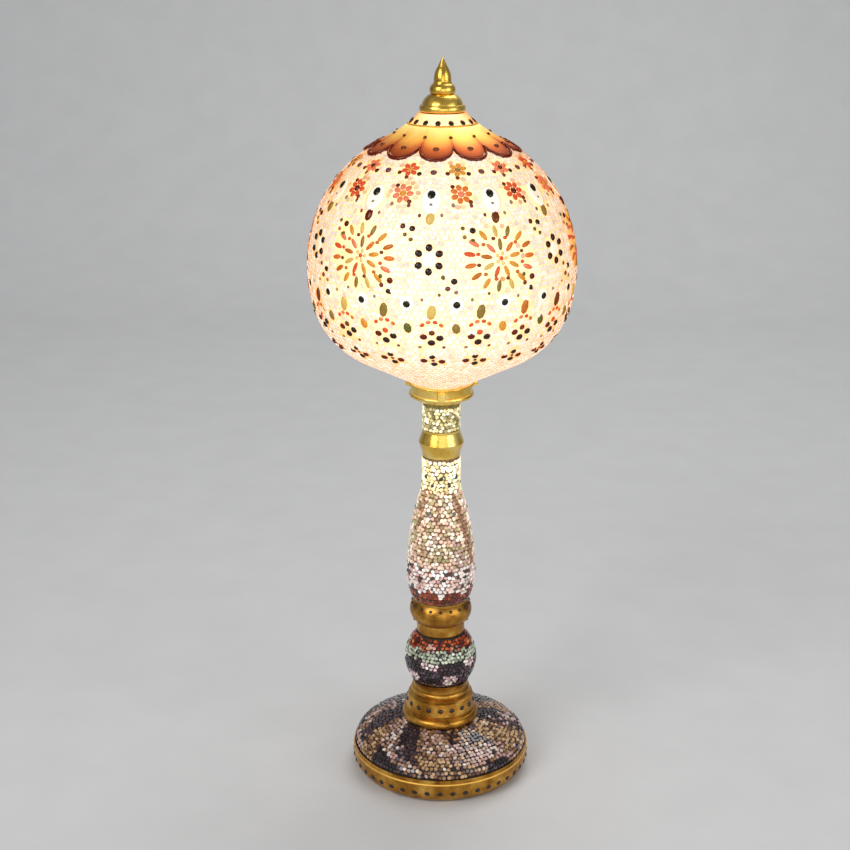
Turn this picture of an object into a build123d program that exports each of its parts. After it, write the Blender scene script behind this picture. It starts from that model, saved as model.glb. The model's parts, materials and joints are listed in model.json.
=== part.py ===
"""Mosaic glass table lamp: a glass globe on a pillar of glass and brass pieces.

Millimetres, +Z up. The origin is on the lamp's axis in the plane that it stands on.
The front of the lamp looks along -Y and the cord inlet is at the back, at +Y.

Every piece of the pillar is threaded on one tube. From the table upwards they are the
weighted foot, the glass bowl, the collar, the ball, the ring, the vase, the bicone, the neck
and the gallery. The gallery is a brass cup that carries the lampholder in its middle and the
globe on its floor, and three thumbscrews in its wall hold the globe. Heights are worked out
upwards from the table, so a piece that changes size moves all that stands on it.
"""

import os
from math import asin, cos, degrees, radians, sin, sqrt, tan

from build123d import *

# ---------------------------------------------------------------- fits shared by many pieces
PIPE_RADIUS = 5.0  # M10 x 1 lamp tube
PIPE_BORE = 3.8
THREAD_GAP = 0.05  # radial gap drawn between a thread and its nut
PASS_GAP = 0.25  # radial gap where the tube only passes through
SEAT_GAP = 0.3  # gap between curved faces that sit near each other
WASHER_THICKNESS = 1.0  # soft washers between glass and brass

# ---------------------------------------------------------------- foot
FOOT_RADIUS = 65.4  # where the rim band meets the table
RIM_FOOT_LIFT = 0.6
RIM_FOOT_HEADING = 30.0  # the band leaves its foot this steeply
RIM_LOWER_ARC = 12.6
RIM_STRAIGHT = 1.6
RIM_UPPER_ARC = 50.0
RIM_UPPER_TURN = 9.7
RIM_WALL = 1.5
RIM_FLANGE = 1.2  # turned-in flange that the weight is bolted to
RIM_FLANGE_WIDTH = 15.0
RIM_LEDGE = 1.2  # ledge that the glass bowl stands on
RIM_LEDGE_WIDTH = 9.0
RIM_LEDGE_DROP = 2.6  # below the band's top edge
FELT_THICKNESS = 2.0
PLATE_THICKNESS = 1.2
PLATE_INSET = 3.0
WEIGHT_THICKNESS = 10.0
WEIGHT_INSET = 8.0
WEIGHT_CHANNEL = 8.0  # groove for the cord, from the back edge to the tube
WEIGHT_CHANNEL_DEPTH = 6.5
BASE_SCREW_COUNT = 4
BASE_SCREW_RADIUS = 2.0
BASE_SCREW_LENGTH = 7.0
BASE_SCREW_HEAD_RADIUS = 3.8
BASE_SCREW_HEAD = 1.5
CENTRE_HOLE_RADIUS = 12.0
INLET_HEIGHT = 11.6
INLET_BORE = 3.2
GROMMET_WALL = 1.0
GROMMET_FLANGE = 1.0
GROMMET_LIP = 1.4
GROMMET_RELIEF = 1.8

# ---------------------------------------------------------------- glass bowl and collar
BOWL_RIM_GAP = 0.4
BOWL_RIM_HEIGHT = 3.4
BOWL_SHOULDER_ARC = 8.0
BOWL_SLOPE = 28.0  # where the shoulder meets the dome
BOWL_DOME_ARC = 140.0
BOWL_WALL = 3.0
COLLAR_SKIRT_RADIUS = 29.6
COLLAR_OVERLAP = 3.3  # how far the skirt reaches over the bowl
COLLAR_WALL = 1.6
COLLAR_BAND_HEIGHT = 7.6  # wide bright band over the skirt's edge
COLLAR_BAND_BULGE = 1.4
COLLAR_GROOVE = 2.0  # depth of the groove over that band
COLLAR_SLOPE_HEIGHT = 21.2  # from the skirt's edge to the top of the slope
COLLAR_BEAD_BULGE = 1.9
COLLAR_NECK_RADIUS = 22.0
COLLAR_HEIGHT = 32.3  # from the skirt's edge to the seat under the ball
WEB = 2.0  # brass webs that the tube passes through

# ---------------------------------------------------------------- pillar
BALL_RADIUS = 28.4
BALL_WALL = 2.5
BALL_LOWER_SEAT = 19.6
BALL_UPPER_SEAT = 17.3
RING_RADIUS = 24.9
RING_HEIGHT = 30.0
RING_GROOVE_RADIUS = 19.2
RING_GROOVE_HEIGHT = 9.5
RING_WALL = 1.3
VASE_FOOT_RADIUS = 22.2
VASE_BELLY_RADIUS = 26.7
VASE_BELLY_HEIGHT = 21.5
VASE_UPPER_ARC = 215.0
VASE_UPPER_TURN = 17.8
VASE_THROAT_ARC = 42.0
VASE_NECK_LENGTH = 19.6
VASE_WALL = 2.5
BICONE_RADIUS = 17.6
BICONE_HEIGHT = 21.5
NECK_RADIUS = 14.1
NECK_HEIGHT = 21.5
NECK_WALL = 2.3

# ---------------------------------------------------------------- gallery
GALLERY_WALL = 1.2
GALLERY_GAP = 1.2  # between the wall and the globe's neck
GALLERY_CONE = 5.5
GALLERY_BEAD = 1.2  # how far the two beads stand out of the wall
GALLERY_DEPTH = 10.8  # inside, from floor to rim
GASKET = 1.5
SCREW_HEIGHT = 6.2  # above the gallery's floor
SCREW_COUNT = 3
SCREW_RADIUS = 2.0  # M4 x 0.7
SCREW_BOSS_RADIUS = 4.0
SCREW_BOSS = 2.2
SCREW_HEAD_RADIUS = 3.6
SCREW_HEAD = 4.3
SCREW_KNURLS = 16
TIP_RADIUS = 1.6
TIP_LENGTH = 1.2
TIP_GAP = 0.2
TIP_SPIGOT_RADIUS = 0.7
TIP_SPIGOT = 1.5

# ---------------------------------------------------------------- globe
GLOBE_RADIUS = 100.0
GLOBE_WALL = 3.0
GLOBE_FLANK_ARC = 135.0  # below the equator the wall falls away slowly
GLOBE_FLANK_TURN = 12.0
GLOBE_SHOULDER_ARC = 61.0
GLOBE_CONE_SLOPE = 27.0
GLOBE_MOUTH_ARC = 4.0
GLOBE_NECK_RADIUS = 21.5
GLOBE_NECK_LENGTH = 7.6
GLOBE_BAND_RADIUS = 17.5
GLOBE_BAND_SLOPE = 50.0
GLOBE_BAND_LENGTH = 2.0
GLOBE_BAND_ARC = 70.0  # hollow curve between the band and the sphere
GLOBE_TOP_WALL = 3.0

# ---------------------------------------------------------------- finial
STUD_RADIUS = 3.0  # M6
FINIAL_GASKET = 0.8
FINIAL_FLANGE_RADIUS = 17.0
FINIAL_FLANGE_EDGE = 4.6
FINIAL_FLANGE_HEIGHT = 12.2
SPIRE_FOOT_RADIUS = 9.2
SPIRE_BEAD_RADIUS = 9.5
SPIRE_BEAD_HEIGHT = 7.4
SPIRE_WAIST_RADIUS = 7.0
SPIRE_KNOP_RADIUS = 6.1
SPIRE_KNOP_HEIGHT = 10.6
SPIRE_NOSE_RADIUS = 3.5
SPIRE_TIP_RADIUS = 0.9
SPIRE_TIP_HEIGHT = 6.4
INNER_WASHER_RADIUS = 12.0
NUT_THICKNESS = 5.0
STUD_TAIL = 3.0

# ---------------------------------------------------------------- lampholder and bulb
PIPE_NUT = 3.0
PIPE_NUT_FLATS = 14.0
PIPE_WASHER = 0.8
PIPE_WASHER_RADIUS = 9.0
HOLDER_RADIUS = 13.8
HOLDER_WALL = 1.6
HOLDER_CAP_HEIGHT = 10.0
HOLDER_LENGTH = 33.0
HOLDER_FLOOR = 6.0
SHELL_RADIUS = 7.0  # E14 thread, inside the holder's shell
SHELL_WALL = 0.5
SHELL_TOP_GAP = 2.0
TERMINAL_SPACING = 16.0
CAP_RADIUS = 6.9
CAP_LENGTH = 20.5
CAP_CONE = 2.5
CONTACT_RADIUS = 2.2
CONTACT_HEIGHT = 1.6
SPRING_HEIGHT = 2.6
BULB_RADIUS = 17.5
BULB_LENGTH = 74.0
BULB_BELLY = 27.0
BULB_WALL = 0.9
FILAMENT_COUNT = 4
FILAMENT_LENGTH = 30.0
FILAMENT_RADIUS = 0.9


def turn(outline):
    """A solid of revolution about the lamp's axis. Outlines are drawn as (radius, height)."""
    return revolve(Plane.XZ * make_face(outline), Axis.Z)


def closed(*points):
    """A closed outline of straight runs."""
    return Polyline(*points, close=True)


def tube(outer, inner, low, high):
    """A ring with square edges; an inner radius of 0 makes a disc."""
    return turn(closed((inner, low), (outer, low), (outer, high), (inner, high)))


def contour(start, heading, runs, inset=0.0):
    """A smooth outline of straight runs and tangent arcs, drawn as a pen that turns.

    A run is (length, 0) for a straight or (radius, turn) for an arc, with a turn to the left
    positive, in degrees. The inset shifts the whole outline to the pen's left, so the two
    faces of a wall share one list of runs. Returns the edges and the two ends.
    """

    def ahead(angle):
        return Vector(cos(radians(angle)), sin(radians(angle)))

    place = Vector(*start) + ahead(heading + 90) * inset
    first = place
    edges = []
    for size, angle in runs:
        if angle:
            side = 1 if angle > 0 else -1
            radius = size - side * inset
            centre = place + ahead(heading + 90 * side) * radius
            edges.append(CenterArc(centre, radius, heading - 90 * side, angle))
            heading += angle
            place = centre - ahead(heading + 90 * side) * radius
        else:
            edges.append(Line(place, place + ahead(heading) * size))
            place = place + ahead(heading) * size
    return edges, first, place


def wall(start, heading, runs, thickness):
    """A wall of even thickness to the left of a contour, as a solid of revolution."""
    outer, outer_start, outer_end = contour(start, heading, runs)
    inner, inner_start, inner_end = contour(start, heading, runs, thickness)
    ends = [Line(outer_end, inner_end), Line(inner_start, outer_start)]
    return turn(outer + inner + ends)


def save(name, shape):
    """Writes one node. Its solids share the lamp's frame."""
    export_step(shape, os.path.join("parts", name + ".step"))


os.makedirs("parts", exist_ok=True)
pass_radius = PIPE_RADIUS + PASS_GAP

# ================================================================ foot
rim_lower_turn = 90 - RIM_FOOT_HEADING
rim_runs = [
    (RIM_LOWER_ARC, rim_lower_turn),
    (RIM_STRAIGHT, 0),
    (RIM_UPPER_ARC, RIM_UPPER_TURN),
]
rim_start = (FOOT_RADIUS, RIM_FOOT_LIFT)
rim_edge = contour(rim_start, RIM_FOOT_HEADING, rim_runs)[2]
rim_inner_edge = contour(rim_start, RIM_FOOT_HEADING, rim_runs, RIM_WALL)[2]
rim_lower_end = contour(rim_start, RIM_FOOT_HEADING, rim_runs[:1])[2]
rim_middle = rim_lower_end.X - RIM_WALL / 2

plate_low = FELT_THICKNESS
flange_low = plate_low + PLATE_THICKNESS
weight_low = flange_low + RIM_FLANGE
weight_high = weight_low + WEIGHT_THICKNESS
ledge_high = rim_edge.Y - RIM_LEDGE_DROP
plate_radius = FOOT_RADIUS - PLATE_INSET
weight_radius = FOOT_RADIUS - WEIGHT_INSET
flange_inner = FOOT_RADIUS + RIM_WALL - RIM_FLANGE_WIDTH
base_screw_circle = (flange_inner + weight_radius) / 2
base_screws_at = PolarLocations(base_screw_circle, BASE_SCREW_COUNT, 45)

rim_band = wall(rim_start, RIM_FOOT_HEADING, rim_runs, RIM_WALL)
rim_band += tube(FOOT_RADIUS + RIM_WALL, flange_inner, flange_low, weight_low)
rim_band += tube(rim_middle, rim_middle - RIM_LEDGE_WIDTH, ledge_high - RIM_LEDGE, ledge_high)
for place in base_screws_at:
    rim_band -= place * Cylinder(BASE_SCREW_RADIUS + PASS_GAP, 4 * weight_low)

# The cord inlet, a round hole through the band at the back.
inlet_radius = INLET_BORE + GROMMET_WALL
inlet = Plane((0, rim_lower_end.X, INLET_HEIGHT), z_dir=(0, 1, 0))
rim_band -= inlet * Cylinder(inlet_radius, 4 * (RIM_WALL + GROMMET_LIP))
save("base_rim_band", rim_band)

# The band curves away behind the grommet, so its inner flange stands further off the wall.
grommet_back = -RIM_WALL - GROMMET_RELIEF
grommet_outline = closed(
    (INLET_BORE, grommet_back - GROMMET_LIP),
    (inlet_radius + GROMMET_FLANGE / 2, grommet_back - GROMMET_LIP),
    (inlet_radius + GROMMET_FLANGE, grommet_back),
    (inlet_radius - THREAD_GAP, grommet_back),
    (inlet_radius - THREAD_GAP, SEAT_GAP),
    (inlet_radius + GROMMET_FLANGE, SEAT_GAP),
    (inlet_radius + GROMMET_FLANGE / 2, SEAT_GAP + GROMMET_LIP),
    (INLET_BORE, SEAT_GAP + GROMMET_LIP),
)
save("cord_grommet", inlet * turn(grommet_outline))

felt = tube(plate_radius, CENTRE_HOLE_RADIUS, 0, FELT_THICKNESS)
for place in base_screws_at:
    felt -= place * Cylinder(BASE_SCREW_HEAD_RADIUS + SEAT_GAP, 4 * FELT_THICKNESS)
save("felt_pad", felt)

plate = tube(plate_radius, 0, plate_low, flange_low)
for place in base_screws_at:
    plate -= place * Cylinder(BASE_SCREW_RADIUS + PASS_GAP, 4 * flange_low)
save("base_plate", plate)

screw_top = plate_low + BASE_SCREW_LENGTH
base_screw = turn(
    closed(
        (0, plate_low - BASE_SCREW_HEAD),
        (BASE_SCREW_HEAD_RADIUS - BASE_SCREW_HEAD / 2, plate_low - BASE_SCREW_HEAD),
        (BASE_SCREW_HEAD_RADIUS, plate_low - BASE_SCREW_HEAD / 2),
        (BASE_SCREW_HEAD_RADIUS, plate_low),
        (BASE_SCREW_RADIUS, plate_low),
        (BASE_SCREW_RADIUS, screw_top),
        (0, screw_top),
    )
)
save("base_plate_screws", Compound(children=[place * base_screw for place in base_screws_at]))

# The weight hangs the lamp's balance low; the tube's nut sits in a recess underneath it.
nut_recess_top = weight_low + PIPE_NUT + PIPE_WASHER + WASHER_THICKNESS + 1.2
weight = tube(weight_radius, pass_radius, weight_low, weight_high)
weight = chamfer(weight.edges().filter_by(GeomType.CIRCLE).sort_by(SortBy.RADIUS)[-1], 1.0)
weight -= tube(CENTRE_HOLE_RADIUS, 0, weight_low, nut_recess_top)
channel = Box(
    WEIGHT_CHANNEL,
    weight_radius + 1,
    WEIGHT_CHANNEL_DEPTH,
    align=(Align.CENTER, Align.MIN, Align.MIN),
)
weight -= Pos(0, 0, weight_low) * channel
for place in base_screws_at:
    tapped = Cylinder(BASE_SCREW_RADIUS + THREAD_GAP, 2 * BASE_SCREW_LENGTH)
    weight -= place * Pos(0, 0, plate_low) * tapped
save("base_weight", weight)

pipe_washer_low = nut_recess_top - PIPE_WASHER
pipe_nut_low = pipe_washer_low - PIPE_NUT
pipe_low = weight_low + SEAT_GAP
washer_bore = PIPE_RADIUS + PASS_GAP
save("pipe_bottom_washer", tube(PIPE_WASHER_RADIUS, washer_bore, pipe_washer_low, nut_recess_top))


def hex_nut(flats, bore, low, thickness):
    """A plain hexagon nut."""
    blank = extrude(RegularPolygon(flats / 2, 6, major_radius=False), thickness)
    return Pos(0, 0, low) * (blank - Cylinder(bore, 4 * thickness))


save("pipe_bottom_nut", hex_nut(PIPE_NUT_FLATS, PIPE_RADIUS + THREAD_GAP, pipe_nut_low, PIPE_NUT))

# ================================================================ glass bowl
bowl_radius = rim_inner_edge.X - BOWL_RIM_GAP
bowl_foot = (bowl_radius, ledge_high)
bowl_start = [(BOWL_RIM_HEIGHT, 0), (BOWL_SHOULDER_ARC, 90 - BOWL_SLOPE)]
dome_start = contour(bowl_foot, 90, bowl_start)[2]
bowl_hole = COLLAR_SKIRT_RADIUS - COLLAR_OVERLAP


def dome_slope(radius):
    """Slope of the bowl's dome at a radius, in radians."""
    return asin(sin(radians(BOWL_SLOPE)) - (dome_start.X - radius) / BOWL_DOME_ARC)


def bowl_height(radius):
    """Height of the dome's outer face at a radius."""
    return dome_start.Y + BOWL_DOME_ARC * (cos(dome_slope(radius)) - cos(radians(BOWL_SLOPE)))


dome_turn = BOWL_SLOPE - degrees(dome_slope(bowl_hole))
bowl_runs = bowl_start + [(BOWL_DOME_ARC, dome_turn)]
save("base_bowl", wall(bowl_foot, 90, bowl_runs, BOWL_WALL))

# ================================================================ collar
skirt = bowl_height(COLLAR_SKIRT_RADIUS)
ball_seat = skirt + COLLAR_HEIGHT
web_low = ball_seat - WEB
ball_low = ball_seat + WASHER_THICKNESS
ball_centre = ball_low + sqrt(BALL_RADIUS**2 - BALL_LOWER_SEAT**2)
ball_high = ball_centre + sqrt(BALL_RADIUS**2 - BALL_UPPER_SEAT**2)

lip = ball_low + 2 * WASHER_THICKNESS
lip_inner = sqrt(BALL_RADIUS**2 - (ball_centre - lip) ** 2) + SEAT_GAP
lip_outer = lip_inner + COLLAR_WALL
band_top = skirt + COLLAR_BAND_HEIGHT
band_radius = COLLAR_SKIRT_RADIUS - 0.6
groove_low = band_top + 0.6
groove_high = groove_low + 1.4
groove_radius = COLLAR_SKIRT_RADIUS - COLLAR_GROOVE
slope_low = groove_high + 1.4
slope_high = skirt + COLLAR_SLOPE_HEIGHT
slope_radius = COLLAR_NECK_RADIUS + 4.2
bead_low = slope_high + 2.2
bead_high = web_low - 1.9
bead_middle = (bead_low + bead_high) / 2
collar_bore = COLLAR_NECK_RADIUS - COLLAR_WALL
collar_outline = [
    ThreePointArc(
        (COLLAR_SKIRT_RADIUS, skirt),
        (COLLAR_SKIRT_RADIUS + COLLAR_BAND_BULGE, (skirt + band_top) / 2),
        (band_radius, band_top),
    ),
    Polyline(
        (band_radius, band_top),
        (groove_radius, groove_low),
        (groove_radius, groove_high),
        (groove_radius + 0.8, slope_low),
        (slope_radius, slope_high),
        (slope_radius - 1.2, slope_high + 0.6),
        (COLLAR_NECK_RADIUS + 0.6, bead_low),
    ),
    ThreePointArc(
        (COLLAR_NECK_RADIUS + 0.6, bead_low),
        (COLLAR_NECK_RADIUS + COLLAR_BEAD_BULGE, bead_middle),
        (COLLAR_NECK_RADIUS, bead_high),
    ),
    Line((COLLAR_NECK_RADIUS, bead_high), (COLLAR_NECK_RADIUS, web_low)),
    ThreePointArc(
        (COLLAR_NECK_RADIUS, web_low),
        ((COLLAR_NECK_RADIUS + lip_outer) / 2 - 0.2, (web_low + lip) / 2),
        (lip_outer, lip),
    ),
    Polyline(
        (lip_outer, lip),
        (lip_inner, lip),
        (lip_inner, ball_seat),
        (pass_radius, ball_seat),
        (pass_radius, web_low),
        (collar_bore, web_low),
        (collar_bore, bead_low),
        (slope_radius - COLLAR_WALL - 0.4, slope_high),
        (groove_radius - COLLAR_WALL, slope_low),
        (groove_radius - COLLAR_WALL, band_top),
        (bowl_hole, bowl_height(bowl_hole) + SEAT_GAP),
        (COLLAR_SKIRT_RADIUS, skirt),
    ),
]
save("base_collar", turn(collar_outline))

# ================================================================ ball
ball_washer_bore = sqrt((BALL_RADIUS - BALL_WALL) ** 2 - (ball_centre - ball_low) ** 2)
save("ball_washer", tube(BALL_LOWER_SEAT, ball_washer_bore, ball_seat, ball_low))

ball = Pos(0, 0, ball_centre) * (Sphere(BALL_RADIUS) - Sphere(BALL_RADIUS - BALL_WALL))
ball &= tube(2 * BALL_RADIUS, 0, ball_low, ball_high)
save("ball", ball)

# ================================================================ ring
ring_top = ball_high + RING_HEIGHT
ring_seat_radius = VASE_FOOT_RADIUS - 0.8
groove_top = ball_high + RING_GROOVE_HEIGHT
bulge_middle = (groove_top + ring_top - WEB) / 2
ring_inner = RING_GROOVE_RADIUS - RING_WALL
ring_outline = [
    Line((pass_radius, ball_high), (BALL_UPPER_SEAT + 0.6, ball_high)),
    Line((BALL_UPPER_SEAT + 0.6, ball_high), (RING_GROOVE_RADIUS, ball_high + 1.6)),
    Line((RING_GROOVE_RADIUS, ball_high + 1.6), (RING_GROOVE_RADIUS, groove_top)),
    ThreePointArc(
        (RING_GROOVE_RADIUS, groove_top),
        (RING_RADIUS, bulge_middle),
        (ring_seat_radius, ring_top - WEB),
    ),
    Polyline(
        (ring_seat_radius, ring_top - WEB),
        (ring_seat_radius, ring_top),
        (pass_radius, ring_top),
        (pass_radius, ring_top - WEB),
        (ring_inner, ring_top - WEB),
    ),
    ThreePointArc(
        (ring_inner, ring_top - WEB),
        (RING_RADIUS - RING_WALL, bulge_middle),
        (ring_inner, groove_top),
    ),
    Polyline(
        (ring_inner, groove_top),
        (ring_inner, ball_high + WEB),
        (pass_radius, ball_high + WEB),
        (pass_radius, ball_high),
    ),
]
save("lower_ring", turn(ring_outline))

# ================================================================ vase
vase_washer_high = ring_top + WASHER_THICKNESS
vase_bulge = VASE_BELLY_RADIUS - VASE_FOOT_RADIUS
vase_lower_arc = (VASE_BELLY_HEIGHT**2 + vase_bulge**2) / (2 * vase_bulge)
vase_lower_turn = degrees(asin(VASE_BELLY_HEIGHT / vase_lower_arc))
vase_runs = [
    (vase_lower_arc, vase_lower_turn),
    (VASE_UPPER_ARC, VASE_UPPER_TURN),
    (VASE_THROAT_ARC, -VASE_UPPER_TURN),
    (VASE_NECK_LENGTH, 0),
]
vase_foot = (VASE_FOOT_RADIUS, vase_washer_high)
vase_end = contour(vase_foot, 90 - vase_lower_turn, vase_runs)[2]
vase_inner_foot = VASE_FOOT_RADIUS - VASE_WALL
vase = wall(vase_foot, 90 - vase_lower_turn, vase_runs, VASE_WALL)
vase &= tube(2 * VASE_BELLY_RADIUS, 0, vase_washer_high, vase_end.Y)
vase_foot_flat = VASE_WALL * sin(radians(vase_lower_turn))
vase += tube(VASE_FOOT_RADIUS, vase_inner_foot, vase_washer_high, vase_washer_high + vase_foot_flat)
save("vase", vase)
save("vase_washer", tube(VASE_FOOT_RADIUS - 1.0, vase_inner_foot - 1.0, ring_top, vase_washer_high))

# ================================================================ bicone
bicone_low = vase_end.Y
bicone_high = bicone_low + BICONE_HEIGHT
bicone_middle = (bicone_low + bicone_high) / 2
bicone_waist = max(vase_end.X, NECK_RADIUS) + 0.3
bicone_solid = closed(
    (pass_radius, bicone_low),
    (bicone_waist, bicone_low),
    (bicone_waist, bicone_low + WEB),
    (BICONE_RADIUS, bicone_middle - 0.4),
    (BICONE_RADIUS, bicone_middle + 0.4),
    (bicone_waist, bicone_high - WEB),
    (bicone_waist, bicone_high),
    (pass_radius, bicone_high),
    (pass_radius, bicone_high - WEB),
    (bicone_waist - RING_WALL, bicone_high - WEB - 0.6),
    (BICONE_RADIUS - RING_WALL, bicone_middle),
    (bicone_waist - RING_WALL, bicone_low + WEB + 0.6),
    (pass_radius, bicone_low + WEB),
)
save("bicone_ring", turn(bicone_solid))

# ================================================================ neck
neck_high = bicone_high + NECK_HEIGHT
save("neck_tube", tube(NECK_RADIUS, NECK_RADIUS - NECK_WALL, bicone_high, neck_high))

# ================================================================ gallery
gallery_inner = GLOBE_NECK_RADIUS + GALLERY_GAP
gallery_outer = gallery_inner + GALLERY_WALL
floor = neck_high + GALLERY_CONE
rim = floor + GALLERY_DEPTH
seat_waist = NECK_RADIUS + 0.4
bead_radius = gallery_outer + GALLERY_BEAD
gallery_outline = [
    Polyline(
        (pass_radius, neck_high),
        (seat_waist, neck_high),
        (bead_radius - 1.6, floor - 0.6),
    ),
    ThreePointArc(
        (bead_radius - 1.6, floor - 0.6),
        (bead_radius, floor + 1.2),
        (gallery_outer, floor + 3.2),
    ),
    Line((gallery_outer, floor + 3.2), (gallery_outer, rim - 2.0)),
    ThreePointArc((gallery_outer, rim - 2.0), (bead_radius, rim - 1.0), (gallery_outer, rim)),
    Polyline(
        (gallery_outer, rim),
        (gallery_inner, rim),
        (gallery_inner, floor),
        (pass_radius, floor),
        (pass_radius, neck_high),
    ),
]
gallery = turn(gallery_outline)

screw_axis = floor + SCREW_HEIGHT
boss_face = gallery_outer + SCREW_BOSS


def screw_plane(index):
    """Plane of one thumbscrew: its Z axis points out of the gallery. Screw 1 is in front."""
    angle = radians(-90 + index * 360 / SCREW_COUNT)
    return Plane((0, 0, screw_axis), z_dir=(cos(angle), sin(angle), 0))


screw_bore = SCREW_RADIUS + THREAD_GAP
for index in range(SCREW_COUNT):
    boss = Pos(0, 0, gallery_inner + GALLERY_WALL / 2) * Cylinder(
        SCREW_BOSS_RADIUS,
        boss_face - gallery_inner - GALLERY_WALL / 2,
        align=(Align.CENTER, Align.CENTER, Align.MIN),
    )
    bore = Pos(0, 0, GLOBE_NECK_RADIUS) * Cylinder(
        screw_bore, 4 * SCREW_BOSS, align=(Align.CENTER, Align.CENTER, Align.MIN)
    )
    gallery += screw_plane(index) * boss
    gallery -= screw_plane(index) * bore
save("gallery", gallery)

globe_low = floor + GASKET
globe_bore = GLOBE_NECK_RADIUS - GLOBE_WALL
save("shade_gasket", tube(GLOBE_NECK_RADIUS, globe_bore, floor, globe_low))

# ---------------------------------------------------------------- thumbscrews
tip_start = GLOBE_NECK_RADIUS + TIP_GAP
shank_start = tip_start + TIP_LENGTH
head_start = boss_face + 0.6
head_end = head_start + SCREW_HEAD
screw_outline = closed(
    (0, shank_start + TIP_SPIGOT + 0.2),
    (TIP_SPIGOT_RADIUS + THREAD_GAP, shank_start + TIP_SPIGOT + 0.2),
    (TIP_SPIGOT_RADIUS + THREAD_GAP, shank_start),
    (SCREW_RADIUS, shank_start),
    (SCREW_RADIUS, head_start),
    (SCREW_HEAD_RADIUS - 0.5, head_start),
    (SCREW_HEAD_RADIUS, head_start + 0.5),
    (SCREW_HEAD_RADIUS, head_end - 0.7),
    (SCREW_HEAD_RADIUS - 0.7, head_end),
    (0, head_end),
)
thumbscrew = turn(screw_outline)
for groove in PolarLocations(SCREW_HEAD_RADIUS + 0.1, SCREW_KNURLS):
    cutter = Cylinder(0.35, 3 * SCREW_HEAD, align=(Align.CENTER, Align.CENTER, Align.MIN))
    thumbscrew -= groove * Pos(0, 0, head_start - 0.1) * cutter
tip_outline = closed(
    (0, tip_start),
    (TIP_RADIUS, tip_start),
    (TIP_RADIUS, shank_start),
    (TIP_SPIGOT_RADIUS, shank_start),
    (TIP_SPIGOT_RADIUS, shank_start + TIP_SPIGOT),
    (0, shank_start + TIP_SPIGOT),
)
tip = turn(tip_outline)
for index in range(SCREW_COUNT):
    save(f"thumbscrew_{index + 1}", screw_plane(index) * thumbscrew)
    save(f"thumbscrew_tip_{index + 1}", screw_plane(index) * tip)

# ================================================================ tube and its top nut
pipe_washer_top = floor + PIPE_WASHER
pipe_nut_top = pipe_washer_top + PIPE_NUT
pipe_high = pipe_nut_top + HOLDER_CAP_HEIGHT * 0.7
save("lamp_pipe", tube(PIPE_RADIUS, PIPE_BORE, pipe_low, pipe_high))
save("pipe_top_nut", hex_nut(PIPE_NUT_FLATS, PIPE_RADIUS + THREAD_GAP, pipe_washer_top, PIPE_NUT))

# The washer under the top nut carries the earth tag.
earth_washer = tube(PIPE_WASHER_RADIUS, washer_bore, floor, pipe_washer_top)
tag = Box(5.0, 8.0, PIPE_WASHER, align=(Align.CENTER, Align.MIN, Align.MIN))
tag_hole = Pos(0, 5.6, 0) * Cylinder(1.2, 4 * PIPE_WASHER)
earth_washer += Pos(0, PIPE_WASHER_RADIUS - 1.5, floor) * (tag - tag_hole)
save("earth_tag", earth_washer)

# ================================================================ lampholder
holder_low = pipe_nut_top
cap_high = holder_low + HOLDER_CAP_HEIGHT
holder_high = cap_high + HOLDER_LENGTH
holder_bore = HOLDER_RADIUS - HOLDER_WALL
thread_bore = PIPE_RADIUS + THREAD_GAP
holder_cap = [
    Line((thread_bore, holder_low), (PIPE_WASHER_RADIUS, holder_low)),
    ThreePointArc(
        (PIPE_WASHER_RADIUS, holder_low),
        (HOLDER_RADIUS - 1.0, holder_low + 2.4),
        (HOLDER_RADIUS, holder_low + 6.0),
    ),
    Polyline(
        (HOLDER_RADIUS, holder_low + 6.0),
        (HOLDER_RADIUS, cap_high),
        (holder_bore, cap_high),
        (holder_bore, holder_low + 5.4),
        (PIPE_WASHER_RADIUS, holder_low + 3.0),
        (thread_bore, holder_low + 3.0),
        (thread_bore, holder_low),
    ),
]
save("lampholder_cap", turn(holder_cap))
save("lampholder_sleeve", tube(HOLDER_RADIUS, holder_bore, cap_high, holder_high))

core_radius = holder_bore - THREAD_GAP
core_floor = cap_high + HOLDER_FLOOR
shell_outer = SHELL_RADIUS + SHELL_WALL
shell_high = holder_high - SHELL_TOP_GAP
core = tube(core_radius, 0, cap_high, holder_high)
core -= tube(shell_outer + THREAD_GAP, 0, core_floor, holder_high + 1)
terminals = GridLocations(TERMINAL_SPACING, 0, 2, 1)
for place in terminals:
    core -= place * Pos(0, 0, cap_high) * Cylinder(1.5, 8.0)
save("lampholder_core", core)
save("lampholder_shell", tube(shell_outer, SHELL_RADIUS, core_floor, shell_high))

terminal_screw = tube(1.45, 0, cap_high - 1.4, cap_high + 3.6)
terminal_screw += tube(2.6, 0, cap_high - 1.4, cap_high)
save("lampholder_terminals", Compound(children=[place * terminal_screw for place in terminals]))

contact_top = core_floor + SPRING_HEIGHT
spring = turn(
    closed(
        (0, core_floor),
        (4.0, core_floor),
        (4.0, core_floor + 0.5),
        (1.6, contact_top),
        (0, contact_top),
    )
)
save("lampholder_contact", spring)

# ================================================================ bulb
bulb_low = contact_top + TIP_GAP
vitrite_low = bulb_low + CONTACT_HEIGHT
cap_low = vitrite_low + CAP_CONE
bulb_cap_high = cap_low + CAP_LENGTH
save("bulb_contact", tube(CONTACT_RADIUS, 0, bulb_low, vitrite_low))
vitrite = closed(
    (0, vitrite_low),
    (CONTACT_RADIUS, vitrite_low),
    (CAP_RADIUS - 0.7, cap_low),
    (0, cap_low),
)
save("bulb_insulator", turn(vitrite))

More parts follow.
